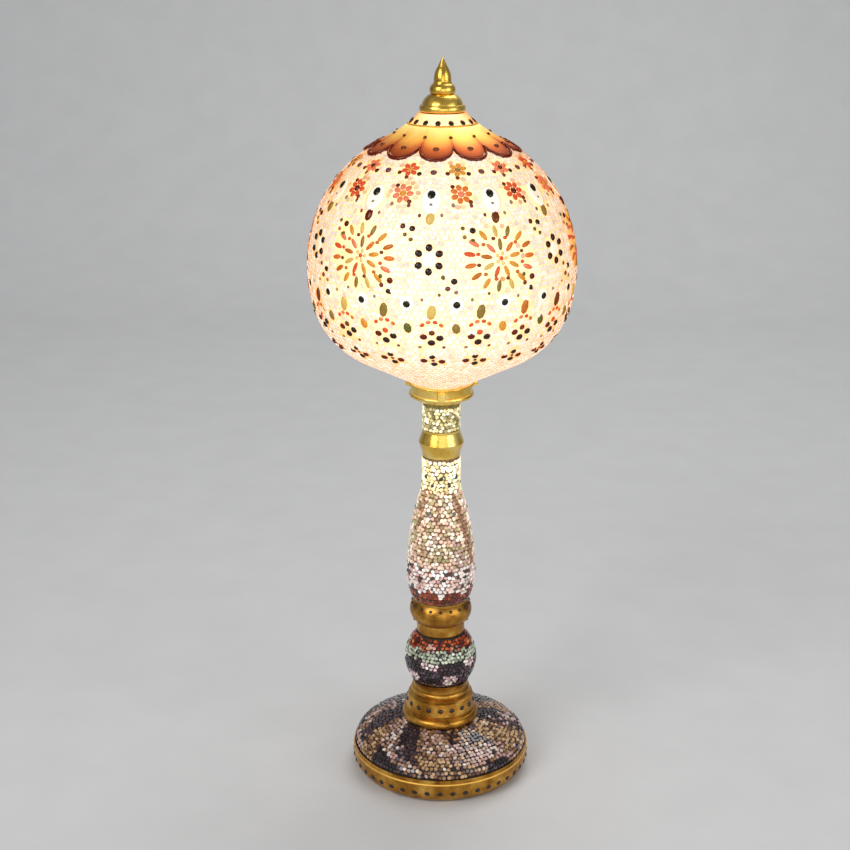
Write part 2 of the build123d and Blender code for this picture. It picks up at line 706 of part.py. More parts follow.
bulb_neck = CAP_RADIUS - 0.6
bulb_cap = closed(
    (0, cap_low),
    (CAP_RADIUS - 0.7, cap_low),
    (CAP_RADIUS, cap_low + 1.0),
    (CAP_RADIUS, bulb_cap_high),
    (bulb_neck, bulb_cap_high),
    (bulb_neck, cap_low + 1.0),
    (0, cap_low + 1.0),
)
save("bulb_cap", turn(bulb_cap))

glass_low = bulb_cap_high - 3.0
glass_high = glass_low + BULB_LENGTH
belly = glass_low + BULB_BELLY
stem_foot = bulb_neck - THREAD_GAP
bulb_outline = [
    Line((stem_foot, glass_low), (stem_foot, bulb_cap_high)),
    Spline(
        (stem_foot, bulb_cap_high),
        (BULB_RADIUS, belly),
        (BULB_RADIUS * 0.55, glass_high - 17.0),
        (0, glass_high),
        tangents=((0.5, 1), (-1, 0.35)),
    ),
    Line((0, glass_high), (0, glass_high - 2 * BULB_WALL)),
    Spline(
        (0, glass_high - 2 * BULB_WALL),
        (BULB_RADIUS * 0.55 - BULB_WALL, glass_high - 18.0),
        (BULB_RADIUS - BULB_WALL, belly),
        (stem_foot - BULB_WALL, bulb_cap_high),
        tangents=((1, -0.35), (-0.5, -1)),
    ),
    Line((stem_foot - BULB_WALL, bulb_cap_high), (stem_foot - BULB_WALL, glass_low)),
    Line((stem_foot - BULB_WALL, glass_low), (stem_foot, glass_low)),
]
save("bulb_glass", turn(bulb_outline))

# A glass stem closes the neck and carries the light-emitting rods.
stem_radius = stem_foot - BULB_WALL - THREAD_GAP
rods_low = belly - FILAMENT_LENGTH / 2
stem = tube(stem_radius, 0, glass_low, bulb_cap_high)
stem += tube(1.8, 0, bulb_cap_high, rods_low)
stem += tube(5.0, 0, rods_low, rods_low + 1.2)
stem += tube(0.8, 0, rods_low + 1.2, rods_low + FILAMENT_LENGTH)
stem += tube(5.0, 0, rods_low + FILAMENT_LENGTH, rods_low + FILAMENT_LENGTH + 0.8)
save("bulb_stem", stem)
rod = tube(FILAMENT_RADIUS, 0, rods_low + 1.2, rods_low + FILAMENT_LENGTH)
rods = [place * rod for place in PolarLocations(3.8, FILAMENT_COUNT)]
save("bulb_filaments", Compound(children=rods))

# ================================================================ globe
# The outline runs from the top band down over the sphere to the mouth. The pen keeps the
# inside on its right, so the wall's thickness is negative to its left.
band_edge = GLOBE_BAND_RADIUS + GLOBE_BAND_LENGTH * cos(radians(GLOBE_BAND_SLOPE))
band_reach = band_edge + GLOBE_BAND_ARC * sin(radians(GLOBE_BAND_SLOPE))
crown_angle = degrees(asin(band_reach / (GLOBE_RADIUS + GLOBE_BAND_ARC)))
shoulder_end = 180 - GLOBE_CONE_SLOPE
shoulder_turn = shoulder_end - 90 - GLOBE_FLANK_TURN
mouth_turn = shoulder_end - 90


def fall(radius, first, last):
    """How far an arc goes down and inwards while its heading turns between two angles."""
    down = radius * (sin(radians(last - 90)) - sin(radians(first - 90)))
    inwards = radius * (cos(radians(first - 90)) - cos(radians(last - 90)))
    return down, inwards


flank_down, flank_in = fall(GLOBE_FLANK_ARC, 90, 90 + GLOBE_FLANK_TURN)
shoulder_down, shoulder_in = fall(GLOBE_SHOULDER_ARC, 90 + GLOBE_FLANK_TURN, shoulder_end)
mouth_rise = GLOBE_MOUTH_ARC * sin(radians(mouth_turn))
mouth_reach = GLOBE_MOUTH_ARC * (1 - cos(radians(mouth_turn)))
cone_in = GLOBE_RADIUS - flank_in - shoulder_in - mouth_reach - GLOBE_NECK_RADIUS
cone_run = cone_in / cos(radians(GLOBE_CONE_SLOPE))
cone_down = cone_in * tan(radians(GLOBE_CONE_SLOPE))
equator = globe_low + GLOBE_NECK_LENGTH + mouth_rise + cone_down + shoulder_down + flank_down
band_arc_centre = equator + sqrt((GLOBE_RADIUS + GLOBE_BAND_ARC) ** 2 - band_reach**2)
band_low = band_arc_centre - GLOBE_BAND_ARC * cos(radians(GLOBE_BAND_SLOPE))
globe_high = band_low + GLOBE_BAND_LENGTH * sin(radians(GLOBE_BAND_SLOPE))
globe_runs = [
    (GLOBE_BAND_LENGTH, 0),
    (GLOBE_BAND_ARC, GLOBE_BAND_SLOPE - crown_angle),
    (GLOBE_RADIUS, crown_angle - 90),
    (GLOBE_FLANK_ARC, -GLOBE_FLANK_TURN),
    (GLOBE_SHOULDER_ARC, -shoulder_turn),
    (cone_run, 0),
    (GLOBE_MOUTH_ARC, mouth_turn),
    (GLOBE_NECK_LENGTH, 0),
]
globe = wall((GLOBE_BAND_RADIUS, globe_high), -GLOBE_BAND_SLOPE, globe_runs, -GLOBE_WALL)
stud_hole = STUD_RADIUS + PASS_GAP
globe += tube(GLOBE_BAND_RADIUS, stud_hole, globe_high - GLOBE_TOP_WALL, globe_high)
save("globe", globe)

# ================================================================ finial
finial_low = globe_high + FINIAL_GASKET
flange_high = finial_low + FINIAL_FLANGE_HEIGHT
save("finial_gasket", tube(FINIAL_FLANGE_RADIUS - 1.5, stud_hole, globe_high, finial_low))

edge_high = finial_low + FINIAL_FLANGE_EDGE
stud_bore = STUD_RADIUS + THREAD_GAP
finial_flange = [
    Line((stud_bore, finial_low), (FINIAL_FLANGE_RADIUS - 0.6, finial_low)),
    ThreePointArc(
        (FINIAL_FLANGE_RADIUS - 0.6, finial_low),
        (FINIAL_FLANGE_RADIUS, (finial_low + edge_high) / 2),
        (FINIAL_FLANGE_RADIUS - 0.9, edge_high),
    ),
    Line((FINIAL_FLANGE_RADIUS - 0.9, edge_high), (FINIAL_FLANGE_RADIUS - 1.9, edge_high + 0.3)),
    ThreePointArc(
        (FINIAL_FLANGE_RADIUS - 1.9, edge_high + 0.3),
        ((FINIAL_FLANGE_RADIUS + SPIRE_FOOT_RADIUS) / 2, (edge_high + flange_high) / 2 + 0.6),
        (SPIRE_FOOT_RADIUS, flange_high),
    ),
    Line((SPIRE_FOOT_RADIUS, flange_high), (stud_bore, flange_high)),
    Line((stud_bore, flange_high), (stud_bore, finial_low)),
]
save("finial_flange", turn(finial_flange))

bead_top = flange_high + SPIRE_BEAD_HEIGHT
knop_low = bead_top + 1.4
knop_high = knop_low + SPIRE_KNOP_HEIGHT
spire_high = knop_high + SPIRE_TIP_HEIGHT
stud_high = bead_top - 0.5
spire = [
    Line((stud_bore, flange_high), (SPIRE_FOOT_RADIUS - 0.6, flange_high)),
    ThreePointArc(
        (SPIRE_FOOT_RADIUS - 0.6, flange_high),
        (SPIRE_BEAD_RADIUS, (flange_high + bead_top) / 2),
        (SPIRE_WAIST_RADIUS, bead_top),
    ),
    Line((SPIRE_WAIST_RADIUS, bead_top), (SPIRE_WAIST_RADIUS - 0.6, knop_low)),
    ThreePointArc(
        (SPIRE_WAIST_RADIUS - 0.6, knop_low),
        (SPIRE_KNOP_RADIUS, knop_low + SPIRE_KNOP_HEIGHT * 0.4),
        (SPIRE_NOSE_RADIUS, knop_high),
    ),
    Line((SPIRE_NOSE_RADIUS, knop_high), (SPIRE_TIP_RADIUS, spire_high - SPIRE_TIP_RADIUS)),
    CenterArc((0, spire_high - SPIRE_TIP_RADIUS), SPIRE_TIP_RADIUS, 0, 90),
    Line((0, spire_high), (0, stud_high + SEAT_GAP)),
    Line((0, stud_high + SEAT_GAP), (stud_bore, stud_high + SEAT_GAP)),
    Line((stud_bore, stud_high + SEAT_GAP), (stud_bore, flange_high)),
]
save("finial_spire", turn(spire))

inner_face = globe_high - GLOBE_TOP_WALL
washer_low = inner_face - WASHER_THICKNESS
plate_washer_low = washer_low - 1.5
nut_low = plate_washer_low - NUT_THICKNESS
stud_low = nut_low - STUD_TAIL
save("finial_stud", tube(STUD_RADIUS, 0, stud_low, stud_high))
save("finial_soft_washer", tube(INNER_WASHER_RADIUS, stud_hole, washer_low, inner_face))
save("finial_washer", tube(INNER_WASHER_RADIUS - 2.0, stud_hole, plate_washer_low, washer_low))
save("finial_nut", hex_nut(10.0, STUD_RADIUS + THREAD_GAP, nut_low, NUT_THICKNESS))

# ---------------------------------------------------------------- what the numbers come to
print(f"ball {ball_low:.2f} to {ball_high:.2f}, ring to {ring_top:.2f}, vase to {vase_end.Y:.2f}")
print(f"vase neck radius {vase_end.X:.2f}, bicone to {bicone_high:.2f}, neck to {neck_high:.2f}")
print(f"gallery floor {floor:.2f}, rim {rim:.2f}, screws at {screw_axis:.2f}")
print(f"globe mouth {globe_low:.2f}, equator {equator:.2f}, top {globe_high:.2f}")
print(f"lampholder to {holder_high:.2f}, bulb {bulb_low:.2f} to {glass_high:.2f}")
print(f"overall height {spire_high:.2f}, finial nut from {stud_low:.2f}")
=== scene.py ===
# %% [markdown]
# # The looks of a mosaic glass table lamp
# The CAD model gives every piece its shape and place. This lesson adds what a maker adds last:
# beads and chips of coloured glass laid one by one over opal glass, gilding, enamel, turned
# brass, and the light of the bulb inside. The CAD nodes stay where they are and get materials;
# the mosaic is new geometry that rides on them.
# %% Load the frame
import json
import math

import bpy
import numpy as np
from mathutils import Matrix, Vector


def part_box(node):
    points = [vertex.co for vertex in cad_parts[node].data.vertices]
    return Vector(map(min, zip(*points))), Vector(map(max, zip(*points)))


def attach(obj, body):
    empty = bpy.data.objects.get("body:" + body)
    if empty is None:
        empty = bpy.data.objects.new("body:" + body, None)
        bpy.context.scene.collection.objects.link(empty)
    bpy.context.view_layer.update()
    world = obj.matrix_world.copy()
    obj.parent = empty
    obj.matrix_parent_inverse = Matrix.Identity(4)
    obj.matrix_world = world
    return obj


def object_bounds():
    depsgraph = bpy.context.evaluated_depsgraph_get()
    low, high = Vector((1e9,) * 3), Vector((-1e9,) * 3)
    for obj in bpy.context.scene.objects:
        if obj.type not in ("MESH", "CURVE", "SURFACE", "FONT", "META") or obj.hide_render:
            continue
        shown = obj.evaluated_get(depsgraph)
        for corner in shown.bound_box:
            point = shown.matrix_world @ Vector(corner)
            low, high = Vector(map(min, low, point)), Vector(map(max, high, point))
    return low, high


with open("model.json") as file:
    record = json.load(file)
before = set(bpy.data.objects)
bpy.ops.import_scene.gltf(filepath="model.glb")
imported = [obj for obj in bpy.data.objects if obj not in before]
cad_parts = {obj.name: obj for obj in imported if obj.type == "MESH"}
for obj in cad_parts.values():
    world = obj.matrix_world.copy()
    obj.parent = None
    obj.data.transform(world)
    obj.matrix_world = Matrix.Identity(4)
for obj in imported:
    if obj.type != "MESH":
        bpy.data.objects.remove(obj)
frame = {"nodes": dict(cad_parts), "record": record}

MM = 0.001
chance = np.random.default_rng(11)
cad_low, cad_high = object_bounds()
print("CAD box", [round(v, 4) for v in (*cad_low, *cad_high)])

# %% [markdown]
# ## Colours and nodes
# Colours are written as they look on a screen and turned to linear light by one function.
# A second small function adds a node with its settings and its links, so that each material
# below reads as a short list of what it is made of.
# %% Colour and node helpers
def linear(code):
    """sRGB hex to linear: each channel c is c/12.92 below 0.04045, else ((c+0.055)/1.055)^2.4."""
    srgb = np.array([int(code[i : i + 2], 16) for i in (1, 3, 5)]) / 255
    return np.where(srgb <= 0.04045, srgb / 12.92, ((srgb + 0.055) / 1.055) ** 2.4)


def rgba(code):
    return (*linear(code), 1.0)


def link(tree, node, **sources):
    """Feeds sockets of a node: each is named after its socket, or _0, _1 for the first and second.

    A source is an output, or a node, which then gives its first output.
    """
    for key, source in sources.items():
        socket = int(key[1:]) if key[0] == "_" else key.replace("_", " ")
        output = source.outputs[0] if hasattr(source, "outputs") else source
        tree.links.new(output, node.inputs[socket])


def add(tree, kind, settings=None, **links):
    """One node. Settings are its properties, plain sockets and a ramp's (place, hex) stops."""
    node = tree.nodes.new("ShaderNode" + kind)
    for key, value in (settings or {}).items():
        if key == "stops":
            elements = node.color_ramp.elements
            elements.remove(elements[1])
            for index, (place, code) in enumerate(value):
                stop = elements.new(place) if index else elements[0]
                stop.position, stop.color = place, rgba(code)
        elif hasattr(node, key):
            setattr(node, key, value)
        else:
            node.inputs[key].default_value = value
    link(tree, node, **links)
    return node


def new_material(name, **sockets):
    """A material with one Principled shader; the sockets that are the same all over are set here."""
    material = bpy.data.materials.new(name)
    material.use_nodes = True
    shader = material.node_tree.nodes["Principled BSDF"]
    for key, value in sockets.items():
        shader.inputs[key.replace("_", " ")].default_value = value
    return material, material.node_tree, shader


# %% [markdown]
# ## Where the glass lies
# Every piece of the pillar was turned about one axis, so a place on it is an angle and a
# distance along its outline. The outline is read from the CAD node itself: the triangles that
# face away from the axis give a radius for each height.
# %% Outlines of turned pieces
def outline(node):
    """Outer wall of a turned node: heights, radii and the distance along the wall, in metres."""
    mesh = frame["nodes"][node].data
    spots = np.empty(len(mesh.vertices) * 3, np.float32)
    mesh.vertices.foreach_get("co", spots)
    spots = spots.reshape(-1, 3).astype(float)
    corners = np.empty(len(mesh.loops), np.int32)
    mesh.loops.foreach_get("vertex_index", corners)
    corners = corners.reshape(-1, 3)
    facing = np.empty(len(mesh.polygons) * 3, np.float32)
    mesh.polygons.foreach_get("normal", facing)
    facing = facing.reshape(-1, 3)
    middle = spots[corners].mean(1)
    outward = (facing[:, :2] * middle[:, :2]).sum(1) / np.hypot(*middle[:, :2].T) > 0.05
    wall = spots[np.unique(corners[outward])]
    heights, where = np.unique(np.round(wall[:, 2], 5), return_inverse=True)
    radii = np.zeros(len(heights))
    np.maximum.at(radii, where, np.hypot(wall[:, 0], wall[:, 1]))
    steps = np.hypot(np.diff(heights), np.diff(radii))
    return {"height": heights, "radius": radii, "along": np.append(0, np.cumsum(steps))}


def along_of(wall, height):
    return np.interp(height, wall["height"], wall["along"])


def radius_of(wall, height):
    return np.interp(height, wall["height"], wall["radius"])


def at(wall, key, along):
    """Radius or height of a wall at a distance along it."""
    return np.interp(along, wall["along"], wall[key])


def place_on(wall, angle, along):
    """Point and three directions on a turned wall.

    The point is (r sin a, -r cos a, z): angle 0 is the front and grows to the right. The
    directions are around the axis, up along the outline, and out of the wall, which is their
    cross product.
    """
    step = 0.5 * MM
    radius, height = at(wall, "radius", along), at(wall, "height", along)
    rise = at(wall, "height", along + step) - at(wall, "height", along - step)
    widen = at(wall, "radius", along + step) - at(wall, "radius", along - step)
    length = np.hypot(rise, widen)
    rise, widen = rise / length, widen / length
    sine, cosine = np.sin(angle), np.cos(angle)
    flat = np.zeros_like(angle)
    point = np.stack([radius * sine, -radius * cosine, height], -1)
    around = np.stack([cosine, sine, flat], -1)
    upward = np.stack([widen * sine, -widen * cosine, rise], -1)
    out = np.stack([rise * sine, -rise * cosine, -widen], -1)
    return point, around, upward, out


# %% [markdown]
# ## Small shapes, laid many times
# A bead is a low dome and a chip is a cut tablet with a smaller top. Both are a few rings of
# points, so that thousands of them stay light. One function lays a shape at many places at
# once: whole arrays of points, with no loop over vertices.
# %% Bead, chip and the function that lays them
def rings(sides, levels):
    """A closed stack of rings, (radius, height) each, capped at both ends."""
    turn = np.arange(sides) * 2 * np.pi / sides
    circle = np.stack([np.cos(turn), np.sin(turn)], -1)
    points = [np.column_stack([circle * r, np.full(sides, h)]) for r, h in levels]
    here, there = np.arange(sides), np.roll(np.arange(sides), -1)
    quads = [
        np.stack([here, there, there + sides, here + sides], -1) + k * sides
        for k in range(len(levels) - 1)
    ]
    caps = np.stack([here[::-1], here + sides * (len(levels) - 1)])
    return np.concatenate(points), [np.concatenate(quads), caps]


BEAD = rings(8, [(0.92, -0.5), (1.0, 0.1), (0.74, 0.7), (0.34, 0.97)])
CHIP = rings(6, [(1.0, -0.6), (0.84, 1.0)])
TABLET = rings(10, [(0.95, -0.6), (1.0, 0.35), (0.82, 0.9), (0.45, 1.0)])


def make_piece(name, points, faces, paint, body, slot, material, smooth=True):
    """Puts points and faces (arrays of equal corner count) into a mesh that rides on a body.

    The paint has a row for each point: red, green, blue and the glow.
    """
    mesh = bpy.data.meshes.new(name)
    counts = np.concatenate([np.full(len(f), f.shape[1]) for f in faces])
    corners = np.concatenate([f.ravel() for f in faces])
    mesh.vertices.add(len(points))
    mesh.vertices.foreach_set("co", points.astype(np.float32).ravel())
    mesh.loops.add(len(corners))
    mesh.loops.foreach_set("vertex_index", corners.astype(np.int32))
    mesh.polygons.add(len(counts))
    mesh.polygons.foreach_set("loop_start", (np.cumsum(counts) - counts).astype(np.int32))
    mesh.polygons.foreach_set("use_smooth", np.full(len(counts), smooth))
    mesh.update(calc_edges=True)
    layer = mesh.color_attributes.new("glass", "FLOAT_COLOR", "POINT")
    layer.data.foreach_set("color", paint.astype(np.float32).ravel())
    mesh.materials.append(material)
    piece = bpy.data.objects.new(name, mesh)
    bpy.context.scene.collection.objects.link(piece)
    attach(piece, body)
    print(f"{name}: {int((counts - 2).sum())} triangles")


def lay(shape, wall, table, glow, side_shade, wobble=0.0):
    """Lays a shape at every row of a table, and returns points, faces and paint.

    A row is angle, distance along the wall, half width, half height, thickness, tilt, red,
    green, blue. A point of the shape goes to place + x w (around) + y h (up) + z t (out), after
    a turn by the tilt in the wall's plane. The lowest ring of each shape is darker by the side
    shade: this is painted shade at the foot of each piece, where it meets the wall, and it dims
    the glow there too. The wobble is the share by which corners move at random.
    """
    form, faces = shape
    angle, along, wide, high, thick, tilt = table[:, :6].T
    point, around, upward, out = place_on(wall, angle, along)
    cosine, sine = np.cos(tilt)[:, None], np.sin(tilt)[:, None]
    first, second = around * cosine + upward * sine, upward * cosine - around * sine
    flat = np.repeat(form[None, :, :], len(table), 0)
    if wobble:
        flat[..., :2] *= 1 + wobble * chance.uniform(-1, 1, flat.shape[:2])[..., None]
    points = point[:, None] + (
        flat[..., 0:1] * (first * wide[:, None])[:, None]
        + flat[..., 1:2] * (second * high[:, None])[:, None]
        + flat[..., 2:3] * (out * thick[:, None])[:, None]
    )
    # Painted shade: points below the wall's face are darker by the side shade.
    shade = np.where(form[:, 2] < 0, side_shade, 1.0)
    colour = table[:, None, 6:9] * shade[None, :, None]
    glow = np.broadcast_to(np.asarray(glow, float), (len(table),))
    paint = np.concatenate([colour, np.repeat(glow[:, None, None], len(form), 1)], -1)
    start = np.arange(len(table))[:, None, None] * len(form)
    made = [(f[None] + start).reshape(-1, f.shape[1]) for f in faces]
    return points.reshape(-1, 3), made, paint.reshape(-1, 4)


def join(*laid):
    """Several laid sets as one: faces are grouped again by their number of corners."""
    offset = np.cumsum([0] + [len(points) for points, _, _ in laid])[:-1]
    groups = {}
    for shift, (_, faces, _) in zip(offset, laid):
        for f in faces:
            groups.setdefault(f.shape[1], []).append(f + shift)
    points = np.concatenate([points for points, _, _ in laid])
    paint = np.concatenate([paint for _, _, paint in laid])
    return points, [np.concatenate(g) for g in groups.values()], paint


# %% [markdown]
# ## Glass
# The mosaic is soda-lime glass, fired and cut, with a polished top. Light enters it from
# behind, so a lit chip shows its colour as its own light, while its surface still mirrors the
# room at an IOR of 1.5. The colour of each chip is painted on its points, and the fourth
# channel says how much of the lamp's light comes through there. Seeds in the melt, about 1 mm
# apart, and cords, about 6 mm apart, vary the colour a little.
# %% Glass materials
def mosaic_glass(name, base_share, **sockets):
    """Painted glass: base colour is paint x share, emission is paint x its glow channel."""
    material, tree, shader = new_material(name, IOR=1.5, Emission_Strength=1.0, **sockets)
    paint = add(tree, "VertexColor", {"layer_name": "glass"})
    where = add(tree, "TexCoord").outputs["Object"]
    seeds = add(tree, "TexNoise", {"Scale": 900.0, "Detail": 2.0}, Vector=where).outputs["Fac"]
    melt = {"Scale": 160.0, "Detail": 1.0, "Distortion": 1.5}
    cords = add(tree, "TexNoise", melt, Vector=where).outputs["Fac"]
    vary = add(tree, "MapRange", {"To Min": 0.82, "To Max": 1.16}, Value=cords)
    grain = add(tree, "MapRange", {"To Min": 0.9, "To Max": 1.08}, Value=seeds)
    both = add(tree, "Math", {"operation": "MULTIPLY"}, _0=vary, _1=grain)
    times = {"operation": "SCALE"}
    own = add(tree, "VectorMath", times, _0=paint.outputs["Color"], Scale=both)
    shown = add(tree, "VectorMath", {**times, "Scale": base_share}, _0=own)
    light = add(tree, "VectorMath", times, _0=own, Scale=paint.outputs["Alpha"])
    matt = add(tree, "MapRange", {"To Min": 0.06, "To Max": 0.22}, Value=cords)
    bump = add(tree, "Bump", {"Strength": 0.25, "Distance": 0.4 * MM}, Height=cords)
    link(tree, shader, Base_Color=shown, Emission_Color=light, Roughness=matt, Normal=bump)
    return material


# A coat tints light more where it leaves the wall at a slant, as amber glass does, so the edge
# of the globe turns peach. The pale ground is divided by the tint and stays pale in the middle.
AMBER_TINT = (0.95, 0.76, 0.58, 1.0)
tinted = {"Coat_Weight": 1.0, "Coat_IOR": 1.02, "Coat_Roughness": 0.2, "Coat_Tint": AMBER_TINT}
lit_glass = mosaic_glass("lit_soda_lime_glass", 0.6, **tinted)
ground_glass = mosaic_glass("lit_ground_glass", 0.35, **tinted)
pillar_glass = mosaic_glass("fired_mosaic_glass", 0.9, Coat_Weight=0.4, Coat_Roughness=0.05)


# %% [markdown]
# ## The globe's ground
# Between the motifs the maker packs small pale chips edge to edge. The rows are rings around
# the globe, each shifted by half a chip, every chip moved and turned a little, and those that
# would lie under a motif are left out.
# %% Paving
def pave(wall, low, high, pitch, jitter=0.12):
    """Places in rings from low to high: each ring holds as many chips as fit its length."""
    first, last = along_of(wall, low), along_of(wall, high)
    rows = np.arange(first + pitch / 2, last - pitch / 4, pitch * 0.9)
    radii = at(wall, "radius", rows)
    counts = np.maximum(6, np.round(2 * np.pi * radii / pitch)).astype(int)
    row = np.repeat(np.arange(len(rows)), counts)
    index = np.arange(len(row)) - np.repeat(np.cumsum(counts) - counts, counts)
    angle = (index + 0.5 * (row % 2)) * 2 * np.pi / counts[row]
    around = pitch / radii[row]
    angle = angle + chance.uniform(-jitter, jitter, len(row)) * around
    return angle, rows[row] + chance.uniform(-jitter, jitter, len(row)) * pitch


def pick(palette, weights, size):
    """One hex colour for each place, drawn with the given weights, as linear rows."""
    table = np.array([linear(code) for code in palette])
    drawn = chance.choice(len(palette), size, p=np.array(weights) / np.sum(weights))
    return table[drawn] * chance.uniform(0.88, 1.08, (size, 1))


def rows_for(angle, along, wide, high, thick, colour):
    """A table for lay() with chips turned at random."""
    tilt = chance.uniform(-0.5, 0.5, len(angle))
    sizes = [np.full(len(angle), float(v)) for v in (wide, high, thick)]
    return np.column_stack([angle, along, *sizes, tilt, colour])


# %% [markdown]
# ## The globe's motifs
# The pattern repeats around the globe. Fifteen dark beads lie on the flared band at its top.
# Twelve scallops hang from the crown, with blossoms of red, orange and pink beads between them;
# under them twelve pale ovals each hold one dark bead. The widest band has
# six rosettes and six bursts of long amber beads, with short chains of dark beads between
# them. Eighteen dark beads and lozenges follow, and then two borders of small flowers. Each
# motif is a short list of beads: its offsets are millimetres on the glass.
# %% Beads of each motif
globe = outline("globe")
globe_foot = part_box("globe")[0].z
PALETTE = {
    "black": "#0C1A16", "ink": "#1A1420", "maroon": "#5A1810", "brown": "#6A3A20",
    "coral": "#D8603C", "pink": "#E89078", "orange": "#DC8440", "amber": "#C07A34",
    "gold": "#DCA848", "olive": "#8C8248", "lime": "#D8CC80", "grey": "#8E8890",
    "mauve": "#6A4A5C", "pale": "#F4E4A8", "white": "#FFFDF6", "moss": "#5C6A3A",
}
TINT = {name: linear(code) for name, code in PALETTE.items()}
BEAD_SIZE = 1.12  # every bead of the motifs is this much larger than its listed size
beads = []


def motif(count, phase, height, *bead_list, cycle=None):
    """Repeats beads around the globe. A bead is (right, up, half width, half height, tilt, colour).

    The centre of repeat k is at angle phase + 360 k / count, and a bead that lies x mm to the
    right is at a further angle x / r. A cycle gives other colours, by repeat, to beads that
    name none.
    """
    centre = np.radians(phase + np.arange(count) * 360 / count)
    level = globe_foot + height * MM
    for right, up, wide, high, tilt, tint in bead_list:
        along = along_of(globe, level) + up * MM
        angle = centre + right * MM / at(globe, "radius", along)
        names = [tint] * count if tint else [cycle[k % len(cycle)] for k in range(count)]
        colour = np.array([TINT[n] for n in names])
        sizes = [np.full(count, v * BEAD_SIZE * MM) for v in (wide, high)]
        thick = np.full(count, min(1.3, 0.55 * min(wide, high)) * MM)
        lean = np.full(count, math.radians(tilt))
        beads.append(np.column_stack([angle, np.full(count, along), *sizes, thick, lean, colour]))


def petals(number, reach, wide, high, tint, turn=0.0, stretch=1.0):
    """Beads on a ring about a centre, each pointing outwards."""
    made = []
    for k in range(number):
        a = math.radians(turn + 360 * k / number)
        x, y = reach * stretch * math.cos(a), reach * math.sin(a)
        made.append((x, y, wide, high, math.degrees(math.atan2(y, x)), tint))
    return made


# %% The upper zone: twelve repeats
SCALLOPS = 12
TIPS, BETWEEN = -5.3, 9.7  # degrees to the first scallop's tip and to the cusp beside it
HIGH_BLOSSOM, LOW_BLOSSOM = 179.5, 165.0
motif(15, -8.0, 206.6, (0, 0, 1.9, 2.3, 0, "black"))
motif(SCALLOPS, TIPS, 178.0, (0, 0, 2.2, 2.2, 0, "mauve"))
motif(SCALLOPS, BETWEEN, HIGH_BLOSSOM, *petals(6, 4.2, 2.2, 1.8, None, 18),
      cycle=["gold", "pink", "coral"])
motif(SCALLOPS, BETWEEN, HIGH_BLOSSOM, (0, 0, 1.9, 1.9, 0, None),
      (-1, -7.2, 1.5, 1.5, 0, "brown"), cycle=["olive", "maroon", "gold"])
motif(SCALLOPS, BETWEEN, 177.0, (-7.4, 0.5, 1.5, 1.7, 20, "maroon"),
      (7.4, 0.0, 1.6, 1.8, -20, "black"))
motif(SCALLOPS, BETWEEN, LOW_BLOSSOM, *petals(7, 5.2, 2.4, 1.9, None, 0),
      cycle=["orange", "coral", "pink"])
motif(SCALLOPS, BETWEEN, LOW_BLOSSOM, (0, 0, 2.3, 2.3, 0, None),
      (-5.4, 6.0, 1.5, 1.5, 0, "maroon"), (6.0, -6.2, 1.6, 1.6, 0, "brown"),
      cycle=["pink", "maroon", "gold"])
motif(SCALLOPS, BETWEEN, 157.2, (-6.4, 1.2, 1.3, 1.6, 0, "grey"),
      (6.2, 0.6, 1.3, 1.5, 0, "mauve"))
motif(SCALLOPS, TIPS, 163.5, (0, 1.6, 3.1, 3.6, -8, "black"), (0, -6.4, 1.7, 1.5, 0, "grey"))
motif(SCALLOPS, TIPS, 150.0, (0, 0, 2.8, 4.3, -8, None), cycle=["lime", "brown", "olive", "maroon"])
motif(SCALLOPS, TIPS, 150.0, (-7.5, 2.0, 1.1, 1.4, 0, "mauve"), (7.8, 2.4, 1.1, 1.4, 0, "grey"))

# %% The middle band: six rosettes, six bursts, chains of dark beads
BURSTS = 6
ROSETTE, BURST = -5.3, 24.7  # degrees to the first rosette and to the first burst
ROSETTE_HEIGHT, BURST_HEIGHT = 123.5, 123.0
motif(BURSTS, ROSETTE, ROSETTE_HEIGHT, *petals(6, 8.2, 2.5, 2.3, "ink", 90))
motif(BURSTS, ROSETTE - 9.0, 142.5, (-4.6, 2.4, 1.8, 1.8, 0, "maroon"),
      (2.2, 1.0, 2.1, 1.9, 0, "ink"), (-2.6, -3.4, 1.4, 1.4, 0, "moss"),
      (1.8, -6.6, 1.5, 1.3, 0, "moss"))
motif(BURSTS, ROSETTE + 17.0, 141.0, (-4.4, 3.0, 1.4, 1.4, 0, "moss"),
      (2.4, 1.2, 2.1, 2.0, 0, "ink"), (-3.6, -3.2, 1.4, 1.4, 0, "olive"),
      (2.0, -6.0, 1.7, 1.6, 0, "moss"))
motif(BURSTS, ROSETTE + 9.0, 108.5, (-5.6, 3.2, 1.4, 1.5, 0, "moss"),
      (2.0, 0.4, 2.2, 2.0, 0, "ink"), (-2.4, -4.6, 1.8, 1.6, 0, "mauve"),
      (3.4, -7.2, 1.4, 1.4, 0, "grey"))
motif(BURSTS, ROSETTE - 17.0, 107.0, (-5.0, 3.6, 1.4, 1.5, 0, "moss"),
      (2.2, 1.2, 2.2, 2.0, 0, "maroon"), (-4.2, -2.4, 1.6, 1.6, 0, "brown"),
      (1.0, -6.4, 1.8, 1.7, 0, "ink"))
AMBERS = ["gold", "orange", "olive", "pink", "amber", "lime", "coral", "gold"]
for k, (*bead, _) in enumerate(petals(9, 9.6, 4.0, 1.5, None, 10, 1.15)):
    motif(BURSTS, BURST, BURST_HEIGHT, (*bead, AMBERS[k % 8]))
for k, (*bead, _) in enumerate(petals(15, 19.0, 3.9, 1.6, None, 0, 1.22)):
    motif(BURSTS, BURST, BURST_HEIGHT, (*bead, AMBERS[(3 * k + 1) % 8]))
for k, (x, y, *_) in enumerate(petals(12, 14.4, 1.4, 1.2, None, 15, 1.2)):
    motif(BURSTS, BURST, BURST_HEIGHT, (x, y, 1.5, 1.2, 0, ("brown", "amber", "coral")[k % 3]))
